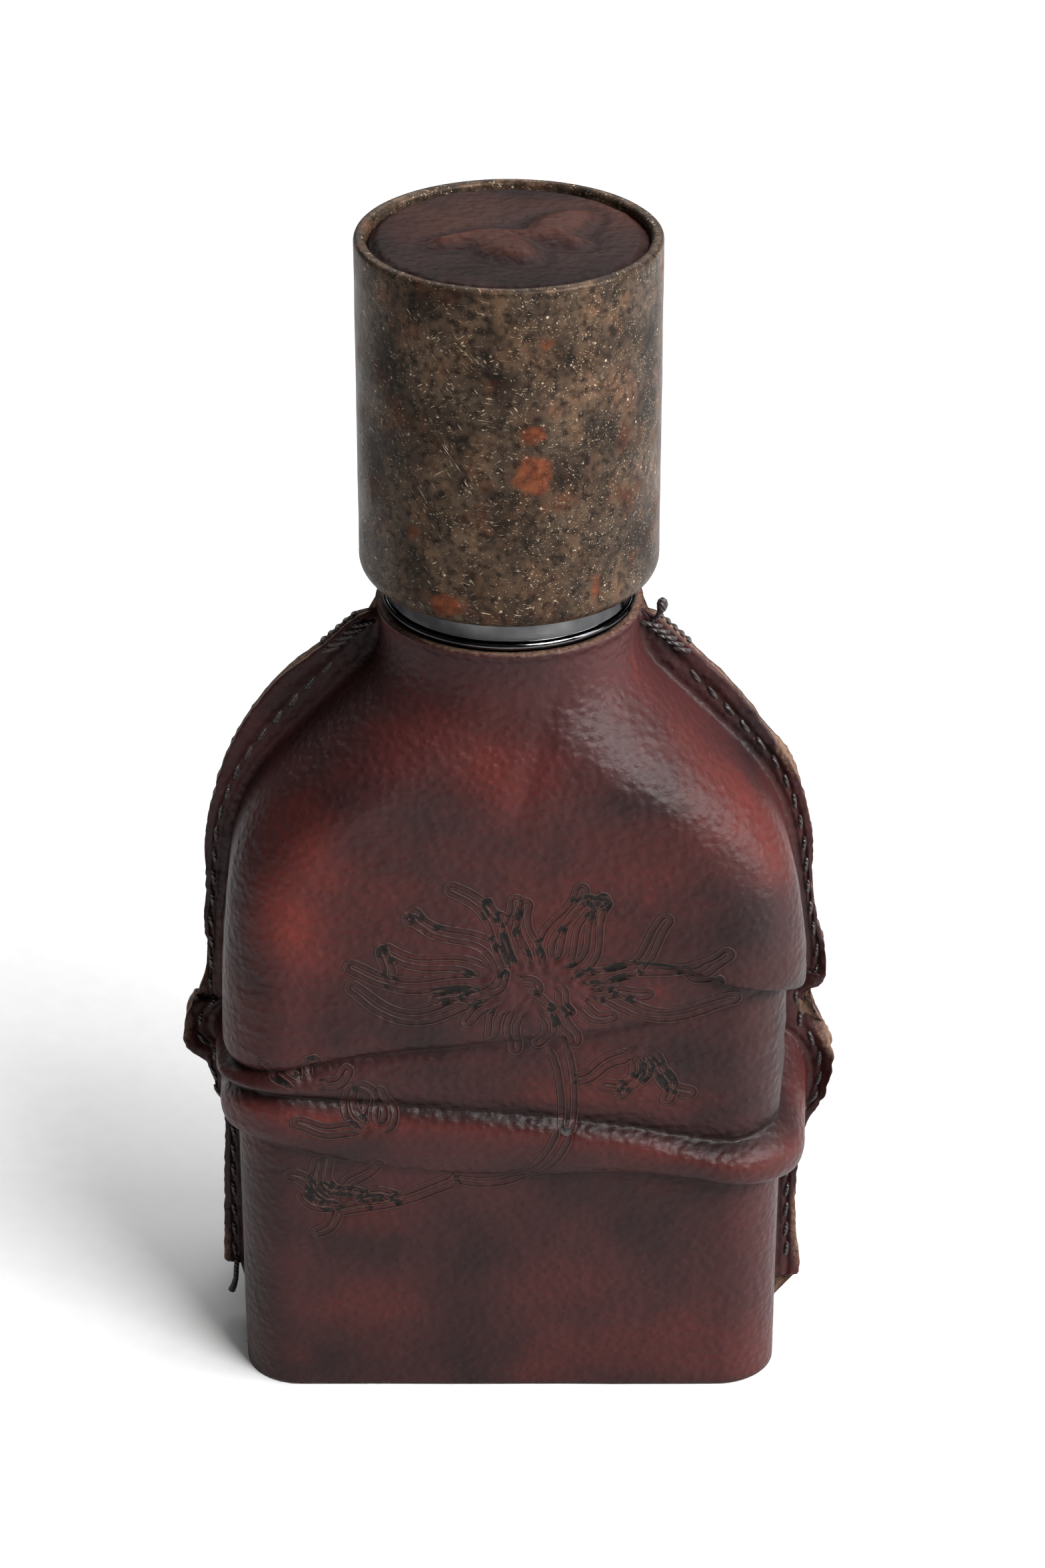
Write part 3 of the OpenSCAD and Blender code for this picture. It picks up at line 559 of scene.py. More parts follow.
def leather_finish(name, dark, body, red, flesh, shine=0.13, wax=0.08):
    """Pebbled, waxed leather. A colour attribute says where it is rubbed, where painted shade darkens creases
    and folds, and where it is cut or burnt. In places the rubbed red is a painted highlight.
    """
    material, add = new_finish(name, IOR=1.48, Specular_IOR_Level=shine, Coat_Weight=wax,
        Coat_Roughness=0.4)
    where = place(add)
    wear_and_shade = add("Attribute", {}, attribute_name="wear_and_shade")
    parts = add("SeparateColor", {"Color": wear_and_shade.outputs["Color"]})
    rub_and_highlight, crease, raw = parts.outputs[0], parts.outputs[1], parts.outputs[2]
    burn = wear_and_shade.outputs["Alpha"]

    # Dye: clouds of darker and redder leather, over fine speckle
    clouds = fog(add, where, 17, detail=4.0, low=0.34, high=0.68)
    dye = blend_of(add, clouds, dark, body)
    redder = fog(add, place(add, (1, 1, 1.8)), 24, detail=3.0, low=0.52, high=0.78)
    dye = blend_of(add, times(add, redder, 0.45), dye, red)
    # Red where rubbed; at the chest's right and along the belt's ridge this red is a painted highlight.
    dye = blend_of(add, rub_and_highlight, dye, red)
    speckle = fog(add, place(add, (1, 1, 1.5)), 1.1, detail=5.0, low=0.3, high=0.72)
    shaded = blend_of(add, times(add, speckle, 0.3), dye, dark)
    # Painted shade: the second channel darkens the creases, the undersides of the folds and the flanges.
    shaded = blend_of(add, times(add, crease, 0.85), shaded, (0.004, 0.002, 0.002, 1))

    # Flesh side and cut edges: pale fibres in brown
    fibres = fog(add, place(add, (1, 1, 0.35)), 0.35, detail=7.0, low=0.3, high=0.7)
    cut = blend_of(add, fibres, (flesh[0] * 0.35, flesh[1] * 0.28, flesh[2] * 0.25, 1), flesh)
    frayed = span(add, fog(add, where, 0.5, detail=5.0, low=0.2, high=0.7), 0, 1, 0.45, 1.3)
    ragged = span(add, times(add, raw, frayed), 0.3, 0.75)
    shaded = blend_of(add, ragged, shaded, cut)
    shaded = blend_of(add, span(add, burn, 0.3, 0.7), shaded, (0.004, 0.0028, 0.0024, 1))
    ash = times(add, span(add, burn, 0.08, 0.25), span(add, burn, 0.5, 0.3))
    shaded = blend_of(add, times(add, ash, 0.4), shaded, (0.075, 0.052, 0.036, 1))

    # Grain: rounded pebbles with valleys between them, pores, and fine pulled lines
    grain = add("TexVoronoi", {"Vector": place(add, (1, 1, 1.1)), "Scale": 1000.0, "Randomness": 0.95},
        feature="SMOOTH_F1")
    warp = add("TexNoise", {"Vector": where, "Scale": 2300.0, "Detail": 4.0})
    pebble = span(add, grain.outputs["Distance"], 0.05, 0.7, 1.0, 0.0)
    height = add("Mix", {0: 0.25, 2: pebble, 3: warp.outputs["Fac"]}, data_type="FLOAT").outputs[0]
    pores = add("TexVoronoi", {"Vector": where, "Scale": 620.0, "Randomness": 1.0}, feature="F1")
    pit = span(add, pores.outputs["Distance"], 0.0, 0.14, 0.55, 0.0)
    pulled = fog(add, place(add, (0.8, 0.8, 1.7)), 1.3, detail=4.0, low=0.25, high=0.75)
    under = rough(add, pulled, 0.12, 0.4)
    under = rough(add, height, 0.19, 0.9, under)
    normal = rough(add, times(add, 1.0, pit, "SUBTRACT"), 0.06, 0.6, under)
    waxy = span(add, warp.outputs["Fac"], 0.3, 0.7, 0.42, 0.54)
    matt = times(add, waxy, times(add, ragged, 0.4), "ADD")
    add("shader", {"Base Color": shaded, "Roughness": matt, "Normal": normal, "Coat Normal": under})
    return material


oxblood = leather_finish("oxblood_leather", (0.014, 0.0060, 0.0063, 1), (0.045, 0.0118, 0.0115, 1),
    (0.100, 0.0150, 0.0105, 1), (0.17, 0.105, 0.074, 1))

# Ornament: branches and roots burnt into the front panel by hand, each drawn as two lines that
# meet in a round tip. Their courses are this maker's own, grown from a few starting twigs.
draw = random.Random(11)
twigs = []


def grow(s, z, heading, length, width, curl, waves=0.3):
    """One branch's centre line, bending by curl as it goes, as (s, z, half width)."""
    step, phase = 0.3, draw.uniform(0, 6.3)
    count = max(4, int(length / step))
    points = []
    for k in range(count + 1):
        t = k / count
        angle = heading + curl * t + waves * math.sin(phase + 5.2 * t)
        points.append((s, z, width / 2 * (1 - 0.3 * t)))
        s, z = s + math.cos(angle) * step, z + math.sin(angle) * step
    twigs.append(points)
    return points


crown_s, crown_z = 3.0, 57.5
crown_w, crown_h = 27.0, 17.5
for k in range(13):
    heading = math.radians(-2 + 15.3 * k + draw.uniform(-3, 3))
    reach = 1 / math.hypot(math.cos(heading) / crown_w, math.sin(heading) / crown_h)
    reach *= draw.uniform(0.78, 1.02)
    start = draw.uniform(4.6, 6.8)
    course = grow(crown_s + start * math.cos(heading), crown_z + 0.6 * start * math.sin(heading), heading,
        reach - start, 1.7, draw.uniform(-0.55, 0.55), draw.uniform(0.35, 0.6))
    if k % 2:
        fork = course[len(course) * 2 // 3]
        grow(fork[0], fork[1], heading + draw.choice((-0.7, 0.7)), draw.uniform(3.5, 6), 1.2,
            draw.uniform(-0.8, 0.8), 0.35)
for k in range(8):
    heading = math.radians(198 + 20.5 * k + draw.uniform(-4, 4))
    grow(crown_s + 6.5 * math.cos(heading), crown_z + 2.6 * math.sin(heading), heading,
        draw.uniform(3.5, 7.5), 1.3, draw.uniform(-0.8, 0.8), 0.4)
for at_s, at_z, heading in ((-3.5, 57.6, 0.5), (0.5, 59.2, -0.4), (5.2, 58.2, -0.6), (2.0, 56.0, 0.2)):
    grow(at_s, at_z, heading, draw.uniform(3.5, 5), 1.0, draw.uniform(-0.9, 0.9), 0.6)
root = grow(5.5, 50.0, math.radians(-62), 11.5, 2.0, math.radians(-42), 0.1)
root = grow(root[-1][0], root[-1][1], math.radians(-112), 17.0, 1.7, math.radians(-75), 0.12)
root = grow(root[-1][0], root[-1][1], math.radians(-168), 15.5, 1.4, math.radians(12), 0.2)
for from_end, heading, length in ((30, 200, 6), (14, 160, 7), (1, 150, 5.5), (2, 215, 5)):
    fork = root[-from_end]
    grow(fork[0], fork[1], math.radians(heading), length, 1.2, draw.uniform(-0.9, 0.9), 0.5)
for bush_s, bush_z, first, last, count, long in (
        (-20.5, 26.5, 70, 150, 4, 9), (-16.5, 37.5, 55, 140, 4, 8.5), (15.5, 49.5, 235, 320, 5, 9),
        (-24, 44, 30, 160, 3, 5)):
    for k in range(count):
        heading = math.radians(first + (last - first) * k / (count - 1))
        grow(bush_s + math.cos(heading), bush_z + math.sin(heading), heading,
            long * draw.uniform(0.75, 1.05), 1.4, draw.uniform(-1.1, 1.1), 0.55)


def both_sides(course):
    """The line down one side of a branch, round its tip and back up the other side."""
    centre = np.array([(a, b) for a, b, _ in course])
    half = np.array([w for _, _, w in course])[:, None]
    way = np.gradient(centre, axis=0)
    way /= np.linalg.norm(way, axis=1)[:, None]
    across = np.stack([-way[:, 1], way[:, 0]], 1)
    turn = math.atan2(way[-1, 1], way[-1, 0])
    tip = [centre[-1] + half[-1] * np.array([math.cos(turn + a), math.sin(turn + a)])
        for a in np.linspace(math.pi / 2, -math.pi / 2, 7)[1:-1]]
    return np.concatenate([centre + across * half, tip, (centre - across * half)[::-1]])


burnt_lines = [both_sides(course) for course in twigs]
near_line = kdtree.KDTree(sum(len(line) for line in burnt_lines))
for k, (a, b) in enumerate(np.concatenate(burnt_lines)):
    near_line.insert((a, b, 0), k)
near_line.balance()
line_depth, line_w = 0.26, 0.3


def carved(s, z):
    """Depth of the burnt lines."""
    depth = np.zeros(s.shape)
    inside = (s > ornament_s[0] - 2) & (s < ornament_s[1] + 3)
    inside &= (z > ornament_z[0] - 4) & (z < ornament_z[1] + 3)
    for at in zip(*np.nonzero(inside)):
        distance = near_line.find((s[at], z[at], 0))[2]
        depth[at] = line_depth * math.exp(-(distance / line_w) ** 2)
    return depth


# Rubbed places of each panel: strength, place, size and lean. On the front, the patches at (26, 83) and (31,
# 76) paint the chest's right highlight in red.
front_rubs_and_highlights = [(0.95, -25.5, 66.5, 5, 7, 0.2), (0.6, -22.5, 75, 4, 5, 0), (0.45, -1, 86, 5, 8, 0.3),
    (0.5, 26, 83, 3, 9, 0.75), (0.5, 31, 76, 2.5, 6, 0.3), (0.35, 12, 72.5, 8, 1.5, 0.1),
    (0.5, 16.4, 70, 1.0, 1.0, 0), (0.6, 17.6, 57.4, 1.2, 0.8, 0), (0.6, 18.2, 94, 0.35, 1.8, -0.15),
    (0.2, 8, 65, 7, 8, 0), (0.35, 6, 43, 9, 2, -0.1), (0.3, -17, 12, 6, 4, 0.3),
    (0.22, 6, 15, 6, 3, 0.2), (0.2, -27, 5, 3, 2, 0), (0.35, -24, 39.5, 6, 1.6, -0.1)]
front_panel = panel("leather_front_panel", front_folds, front_seed, 1, front_rubs_and_highlights, oxblood, carved)
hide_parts("leather_front")
back_patches = [(0.6, 22, 68, 6, 8, 0.2), (0.45, -6, 80, 7, 9, 0.3), (0.35, -26, 60, 4, 8, 0.1),
    (0.3, 4, 44, 10, 2, 0), (0.3, 14, 14, 8, 4, 0.2), (0.22, -18, 20, 6, 5, 0.4)]
back_panel = panel("leather_back_panel", back_folds, back_seed, -1, back_patches, oxblood)
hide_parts("leather_back")


# ---------------------------------------------------------------- burnt lines
# The ornament's lines are scorched into the grain with a hot tip: a dark channel with raised,
# paler lips. Each is a thin closed strip that lies in the channel pressed into the panel.

across = (-0.52, -0.38, -0.22, 0.22, 0.38, 0.52)
lift = (0.012, 0.05, 0.015, 0.015, 0.05, 0.012)
scorch = (0.0, 0.3, 1.0, 1.0, 0.3, 0.0)
strip_verts, strip_faces, strip_wear = [], [], []
for path in burnt_lines:
    way = np.gradient(path, axis=0)
    way /= np.maximum(np.linalg.norm(way, axis=1)[:, None], 1e-6)
    sideways = np.stack([-way[:, 1], way[:, 0]], 1)
    ring = []
    fade = np.clip(np.minimum(np.arange(len(path)), np.arange(len(path))[::-1]) / 5, 0.15, 1)
    for offset, height, burn in zip(across + (0.38, -0.38), lift + (-0.06, -0.06), scorch + (0, 0)):
        at = path + sideways * (offset * fade)[:, None]
        s, z = at[:, 0], at[:, 1]
        here = skin_point(front_folds, front_seed, s, z, carved)
        _, _, nx, ny = outline_point(s, z, over_glass)
        ring.append(here + np.stack([nx, ny, nx * 0], -1) * height)
        wear_and_shade = np.zeros((len(path), 4))
        wear_and_shade[:, 3] = burn * (0.55 + 0.45 * fade)
        ring.append(wear_and_shade)
    count = len(across) + 2
    start = len(strip_verts)
    for i in range(len(path)):
        for k in range(count):
            strip_verts.append(ring[2 * k][i])
            strip_wear.append(ring[2 * k + 1][i])
    for i in range(len(path) - 1):
        for k in range(count):
            a, b = start + i * count + k, start + i * count + (k + 1) % count
            strip_faces.append((a, b, b + count, a + count))
    strip_faces.append([start + k for k in range(count)][::-1])
    strip_faces.append([start + (len(path) - 1) * count + k for k in range(count)])
new_piece("burnt_line_ornament", strip_verts, strip_faces, oxblood, "bottle",
    wear_and_shade=strip_wear)


# ---------------------------------------------------------------- seam stitches
# Waxed brown thread, saddle stitched by hand through both panels. Each stitch is pulled into
# the leather at its ends, and five turns of thread whip the flange at each corner of the neck.

waxed, add = new_finish("waxed_thread", IOR=1.5, Sheen_Weight=0.15, Sheen_Roughness=0.4)
twist = add("TexWave", {"Vector": place(add, (1, 1, 1)), "Scale": 900.0, "Distortion": 3.0, "Detail": 2.0},
    bands_direction="DIAGONAL")
dusty = fog(add, place(add), 2.0, detail=5.0)
add("shader", {"Base Color": blend_of(add, dusty, (0.006, 0.003, 0.003, 1), (0.022, 0.010, 0.009, 1)),
    "Roughness": span(add, dusty, 0, 1, 0.34, 0.58), "Normal": rough(add, twist.outputs["Fac"], 0.09, 0.8)})


def tube(verts, faces, path, radius, sides=8):
    """A closed tube along a path of points in millimetres. radius is one number for each point."""
    path = np.asarray(path, float)
    way = np.gradient(path, axis=0)
    way /= np.maximum(np.linalg.norm(way, axis=1)[:, None], 1e-9)
    side = np.cross(way[0], (0.3, 0.9, 0.2))
    start = len(verts)
    for point, direction, r in zip(path, way, radius):
        side = side - direction * side.dot(direction)
        side /= np.linalg.norm(side)
        other = np.cross(direction, side)
        for k in range(sides):
            a = 2 * math.pi * k / sides
            verts.append(point + r * (math.cos(a) * side + math.sin(a) * other))
    for i in range(len(path) - 1):
        for k in range(sides):
            a, b = start + i * sides + k, start + i * sides + (k + 1) % sides
            faces.append((a, b, b + sides, a + sides))
    faces.append([start + k for k in range(sides)][::-1])
    faces.append([start + (len(path) - 1) * sides + k for k in range(sides)])


thread_r = 0.29
stitch_pitch, stitch_len, stitch_low, stitch_high = 3.0, 2.35, 7.0, 93.4
bare_grids = {1: panel_grid(front_folds, front_seed, None)[0],
    -1: panel_grid(back_folds, back_seed, None)[0]}
seam_share = 0.45
seam_column = corner_strips + int(seam_share * flange_steps)


def seam_course(side, facing):
    """The seam's line on one face of the flange, by way along it: points and lengths."""
    grid = bare_grids[facing]
    from_edge = edge_strips - seam_column
    index = from_edge if side < 0 else grid.shape[1] - 1 - from_edge
    line = grid[:, index] * (1, facing, 1)
    line = line[(line[:, 2] > stitch_low) & (line[:, 2] < stitch_high)]
    length = np.concatenate([[0], np.cumsum(np.linalg.norm(np.diff(line, axis=0), axis=1))])
    return line, length


for side, word in ((-1, "left"), (1, "right")):
    verts, faces = [], []
    for facing in (1, -1):
        line, length = seam_course(side, facing)
        outward = np.array([0, -facing, 0])
        for k in range(int(length[-1] / stitch_pitch)):
            ways = k * stitch_pitch + 0.3 + stitch_len * np.linspace(0, 1, 7)
            points = np.stack([np.interp(ways, length, line[:, axis]) for axis in range(3)], -1)
            bow = np.array([-0.3, 0.02, 0.12, 0.15, 0.12, 0.02, -0.3])[:, None]
            slant = np.linspace(-0.22, 0.22, 7)[:, None] * np.array([side, 0, 0])
            girth = thread_r * np.array([0.7, 0.95, 1, 1.02, 1, 0.95, 0.7])
            tube(verts, faces, points + outward * (bow + 0.02) + slant, girth)
    stitches = new_piece("seam_stitches_" + word, verts, faces, waxed, "bottle")
    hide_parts("seam_thread_" + word)

# Whipping: each turn runs over the flange's edge and back, a little lower every time
whip_turns, whip_top, whip_pitch, whip_steps = 5, 97.6, 0.82, 24
for side, word in ((-1, "left"), (1, "right")):
    verts, faces = [], []
    for turn in range(whip_turns):
        z = whip_top - whip_pitch * turn
        outline = flange_left if side < 0 else flange_right
        tip = float(along(outline, np.array(z))) + 0.25
        y_mid = float(sway(side, np.array([z]))[0]) * 0.7
        leg, half = 2.6 - 0.15 * turn, leather_t + 0.3
        loop = []
        for k in range(whip_steps + 1):
            a = 2 * math.pi * k / whip_steps
            squarish = 1 / max(abs(math.cos(a)), abs(math.sin(a)), 0.8) * 0.8
            x = tip - leg / 2 + leg / 2 * 1.2 * math.cos(a) * squarish
            y = half * 1.2 * math.sin(a) * squarish
            loop.append((side * x, y + y_mid, z - whip_pitch * k / whip_steps + 0.35 * (tip - x) / leg))
        tube(verts, faces, loop, [thread_r * 1.05] * len(loop))
    if side > 0:
        # The thread's end, melted into a bead so that it can't slip back
        tail = [(16.9, -1.0, 97.6), (17.3, -1.5, 98.3), (17.6, -1.8, 99.0), (17.8, -1.95, 99.6),
            (17.9, -2.0, 100.2), (17.9, -2.0, 100.7), (17.9, -2.0, 101.0)]
        tube(verts, faces, tail, [0.29, 0.29, 0.33, 0.6, 0.7, 0.55, 0.2], 12)
    whipping = new_piece("neck_whipping_" + word, verts, faces, waxed, "bottle")
    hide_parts("neck_binding_" + word)

# The seam's thread ends in a short tail at the foot of the left side
tail_verts, tail_faces = [], []
tube(tail_verts, tail_faces, [(-34.6, -0.9, 7.5), (-34.8, -1.3, 6.2), (-34.9, -1.5, 4.6),
    (-35.2, -1.4, 3.4), (-35.5, -1.3, 2.6)], [0.34, 0.36, 0.36, 0.42, 0.5])
new_piece("seam_thread_end", tail_verts, tail_faces, waxed, "bottle")


# ---------------------------------------------------------------- leather fibres
# Where the panels are cut at the foot and the neck, loose fibres of the flesh side stick out.

fibre_count, foot_fibres = 90, 62
verts, faces = [], []
for k in range(fibre_count):
    at_foot = k < foot_fibres
    z = jacket_low + 0.1 if at_foot else jacket_high - 0.1
    facing = 1 if draw.random() < 0.6 else -1
    limit = float(half_length(np.array(z))) - 0.5
    s = np.array([draw.uniform(-limit, limit)])
    x, y, nx, ny = outline_point(s, np.array([z]), over_glass - 0.2)
    root_at = np.array([x[0], y[0] * facing, z])
    lean = np.array([nx[0], ny[0] * facing, -0.15 if at_foot else 0.6])
    curl = np.array([draw.uniform(-0.5, 0.5), draw.uniform(-0.5, 0.5), draw.uniform(-0.05, 0.2)])
    long = draw.uniform(0.2, 0.5) if at_foot else draw.uniform(0.4, 1.0)
    points = [root_at + lean * long * t + curl * long * t * t for t in (0, 0.33, 0.66, 1)]
    points = [(p[0], p[1], max(p[2], 0.06)) for p in points]
    tube(verts, faces, points, [0.055, 0.045, 0.03, 0.012], 5)
fibre_finish, add = new_finish("leather_fibre", IOR=1.45)
tint = fog(add, place(add), 1.0)
add("shader", {"Base Color": blend_of(add, tint, (0.06, 0.03, 0.025, 1), (0.2, 0.12, 0.09, 1)),
    "Roughness": span(add, tint, 0, 1, 0.6, 0.9)})
new_piece("leather_fibres", verts, faces, fibre_finish, "bottle")

suede, add = new_finish("base_felt", IOR=1.45, Sheen_Weight=0.3, Sheen_Roughness=0.5)
nap = fog(add, place(add), 0.35, detail=7.0)
cloudy = fog(add, place(add), 12)
worn_nap = times(add, nap, cloudy)
surface(add, worn_nap, (0.07, 0.035, 0.026, 1), (0.16, 0.09, 0.065, 1),
    nap, (0.75, 0.98), (0.12, 0.8))
dress(suede, "base_pad")


# ---------------------------------------------------------------- collar
# A turned brass ring, polished and plated with dark chrome, pressed over the crimped ferrule.
# A bead runs round its foot. The cap's liner grips its band.


def turned(name, profile, material, body, segments=192, wobble=0.0):
    """A closed turned piece from its outline, given as (radius, z) points in millimetres."""
    verts, faces = [], []
    count = len(profile)
    for k in range(segments):
        a = 2 * math.pi * k / segments
        for r, z in profile:
            dent = noise.noise(Vector((math.cos(a) * 3, math.sin(a) * 3, z / 6))) * wobble if r > 1 else 0
            verts.append(((r + dent) * math.sin(a), -(r + dent) * math.cos(a), z))
    for k in range(segments):
        a, b = k * count, (k + 1) % segments * count
        for i in range(count):
            j = (i + 1) % count
            faces.append((a + i, b + i, b + j, a + j))
    return new_piece(name, verts, faces, material, body)


def bend(r, z, radius, first, last, steps=8):
    """Points of an arc about (r, z), between two angles in degrees."""
    angles = [math.radians(first + (last - first) * k / steps) for k in range(steps + 1)]
    return [(r + radius * math.cos(a), z + radius * math.sin(a)) for a in angles]


chrome, add = new_finish("dark_chrome", Metallic=1.0, Specular_Tint=(0.35, 0.34, 0.35, 1))
scuffs = fog(add, place(add, (1, 1, 14)), 1.2, detail=6.0, low=0.45, high=0.75)
smoke = fog(add, place(add), 7.0)
surface(add, smoke, (0.035, 0.035, 0.037, 1), (0.12, 0.118, 0.12, 1),
    scuffs, (0.07, 0.24), (0.006, 0.5))

collar_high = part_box("neck_collar")[1]
bead_r = collar_high.x / MM
collar_r, collar_top = bead_r - 0.6, collar_high.z / MM
hole_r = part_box("pump_closure")[1].x / MM + 0.35
inner_r = collar_r - 1.2
grip_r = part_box("crimp_ferrule")[1].x / MM + 0.02
under_top = collar_top - 1.0
grip_wall, grip_z = 0.8, seat_z + 5.25
collar_profile = [(inner_r, seat_z + 0.05), (inner_r + 0.2, seat_z)]
collar_profile += bend(bead_r - 0.5, seat_z + 0.5, 0.5, -90, 90, 12)
collar_profile += [(collar_r + 0.03, seat_z + 1.0), (collar_r, seat_z + 1.08), (collar_r, seat_z + 4)]
collar_profile += bend(collar_r - 0.8, collar_top - 0.8, 0.8, 0, 90, 8)
collar_profile += bend(hole_r + 0.2, collar_top - 0.2, 0.2, 90, 180, 4)
collar_profile += [(hole_r, under_top), (grip_r, under_top), (grip_r, grip_z),
    (grip_r + grip_wall, grip_z), (grip_r + grip_wall, under_top), (inner_r, under_top)]
collar = turned("collar_ring", collar_profile, chrome, "bottle")
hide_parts("neck_collar")


# ---------------------------------------------------------------- actuator
# A moulded black button on the pump's stem, with a thin chromed sleeve pressed over it.
# The white spray insert shows through the sleeve's side hole.

black_plastic, add = new_finish("black_plastic", IOR=1.5)
scuffed = fog(add, place(add, (1, 1, 3)), 0.8, detail=5.0)
surface(add, scuffed, (0.008, 0.008, 0.009, 1), (0.024, 0.023, 0.024, 1),
    scuffed, (0.3, 0.5), (0.02, 0.5))
dress(black_plastic, "actuator")
plated, add = new_finish("polished_chrome", Metallic=1.0)
fine = fog(add, place(add, (1, 1, 18)), 1.4, detail=6.0, low=0.45, high=0.8)
warm = fog(add, place(add), 5.0)
surface(add, warm, (0.52, 0.52, 0.53, 1), (0.68, 0.68, 0.69, 1),
    fine, (0.05, 0.2), (0.005, 0.5))
dress(plated, "actuator_sleeve")


# ---------------------------------------------------------------- cap
# A deep-drawn brass shell, blackened, then rubbed and left to tarnish. Its foot is rolled in,
# and its rim stands round a shallow recess. A black plastic liner inside grips the collar.

cap_low, cap_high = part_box("cap_shell")
cap_r, cap_z, cap_top = cap_high.x / MM, cap_low.z / MM, cap_high.z / MM
cap_wall, rim_w, rim_r, recess = 1.6, 1.4, 0.6, 2.0
recess_z = cap_top - recess
ceiling_z = recess_z - 1.6
cap_in_r = cap_r - cap_wall
lip_r = bead_r + 0.2
foot_r = cap_r - lip_r
recess_r = cap_r - rim_w

tarnish, add = new_finish("aged_metal", Metallic=0.4, Specular_IOR_Level=0.06)
where = place(add)
clouds = fog(add, where, 6.5, detail=6.0, low=0.32, high=0.7)
tone = blend_of(add, clouds, (0.016, 0.0105, 0.008, 1), (0.074, 0.050, 0.034, 1))
stain = fog(add, place(add, (1, 1, 0.55)), 3.2, detail=7.0, low=0.45, high=0.72)
tone = blend_of(add, times(add, stain, 0.5), tone, (0.135, 0.075, 0.042, 1))
soot = fog(add, where, 0.9, detail=7.0, low=0.42, high=0.66)
tone = blend_of(add, times(add, soot, 0.85), tone, (0.008, 0.006, 0.005, 1))


def scratches(turn, size_mm, low, seed):
    """Short fine strokes that lie one way over the surface."""
    leant = add("Mapping", {"Vector": where, "Rotation": turn, "Location": (seed, seed, 0)})
    drawn_out = add("Mapping", {"Vector": leant.outputs["Vector"], "Scale": (1, 1, 0.09)})
    lines = add("TexNoise", {"Vector": drawn_out.outputs["Vector"], "Scale": 1 / (size_mm * MM),
        "Detail": 2.0})
    broken = fog(add, where, 1.9 + seed, detail=2.0, low=0.46, high=0.6)
    return times(add, span(add, lines.outputs["Fac"], low, low + 0.05), broken)


strokes = scratches((0.3, 0.6, 0.2), 0.2, 0.66, 0.3)
for turn, size_mm, seed in (
        ((-0.5, -0.9, 0.5), 0.17, 0.7), ((1.3, 0.4, 1.1), 0.2, 1.1), ((0.6, 1.4, -0.4), 0.18, 1.6)):
    strokes = times(add, strokes, scratches(turn, size_mm, 0.665, seed), "ADD")
flecks = add("TexVoronoi", {"Vector": where, "Scale": 900.0, "Randomness": 1.0}, feature="F1")
sparse = fog(add, where, 2.0, low=0.56, high=0.66)
fleck = times(add, span(add, flecks.outputs["Distance"], 0.17, 0.11), sparse)
bright = times(add, strokes, fleck, "ADD")
tone = blend_of(add, times(add, bright, 0.85), tone, (0.46, 0.37, 0.26, 1))


rag_size = 0.0022


def rust_patch(turn_deg, z_mm, radius_mm, tall):
    """A ragged patch of rust on the side, at a place round the cap and a height."""
    a = math.radians(turn_deg)
    centre = Vector((cap_r * math.sin(a), -cap_r * math.cos(a), z_mm)) * MM
    ragged = add("TexNoise", {"Vector": where, "Scale": 700.0, "Detail": 5.0})
    pushed = add("MixRGB", {0: rag_size, 1: where, 2: ragged.outputs["Color"]},
        blend_type="ADD").outputs[0]
    offset = add("VectorMath", {0: pushed, 1: centre + Vector((1, 1, 1)) * (rag_size / 2)},
        operation="SUBTRACT").outputs[0]
    scaled = add("VectorMath", {0: offset, 1: (1, 1, 1 / tall)}, operation="MULTIPLY").outputs[0]
    distance = add("VectorMath", {0: scaled}, operation="LENGTH").outputs["Value"]
    return span(add, distance, radius_mm * MM, (radius_mm - 0.9) * MM)


rust = rust_patch(9.1, 123.5, 2.7, 1.0)
for patch in ((9.1, 128.4, 1.8, 0.8), (34, 108.6, 1.0, 2.2), (-24.4, 106.8, 2.2, 0.7),
        (-38, 114.8, 1.1, 1.0), (14, 139.5, 1.2, 0.8), (150, 118, 3.0, 0.8), (205, 132, 1.9, 1.2),
        (262, 112, 2.2, 1.4)):
    rust = times(add, rust, rust_patch(*patch), "ADD")
specks = fog(add, where, 4.5, detail=6.0, low=0.56, high=0.74)
rust = times(add, rust, times(add, specks, 0.4), "ADD")
flaky = fog(add, where, 1.0, detail=5.0)
rust_tone = blend_of(add, flaky, (0.07, 0.020, 0.010, 1), (0.17, 0.050, 0.022, 1))
tone = blend_of(add, times(add, rust, 0.8), tone, rust_tone)
worn = span(add, clouds, 0, 1, 0.5, 0.36)
matt = times(add, times(add, worn, times(add, rust, 0.35), "ADD"), times(add, bright, 0.15), "SUBTRACT")
pitted = rough(add, times(add, soot, 0.6), 0.05, 0.5)
scored = rough(add, times(add, 1.0, bright, "SUBTRACT"), 0.03, 0.7, pitted)
add("shader", {"Base Color": tone, "Roughness": matt, "Normal": rough(add, rust, 0.05, 0.6, scored)})

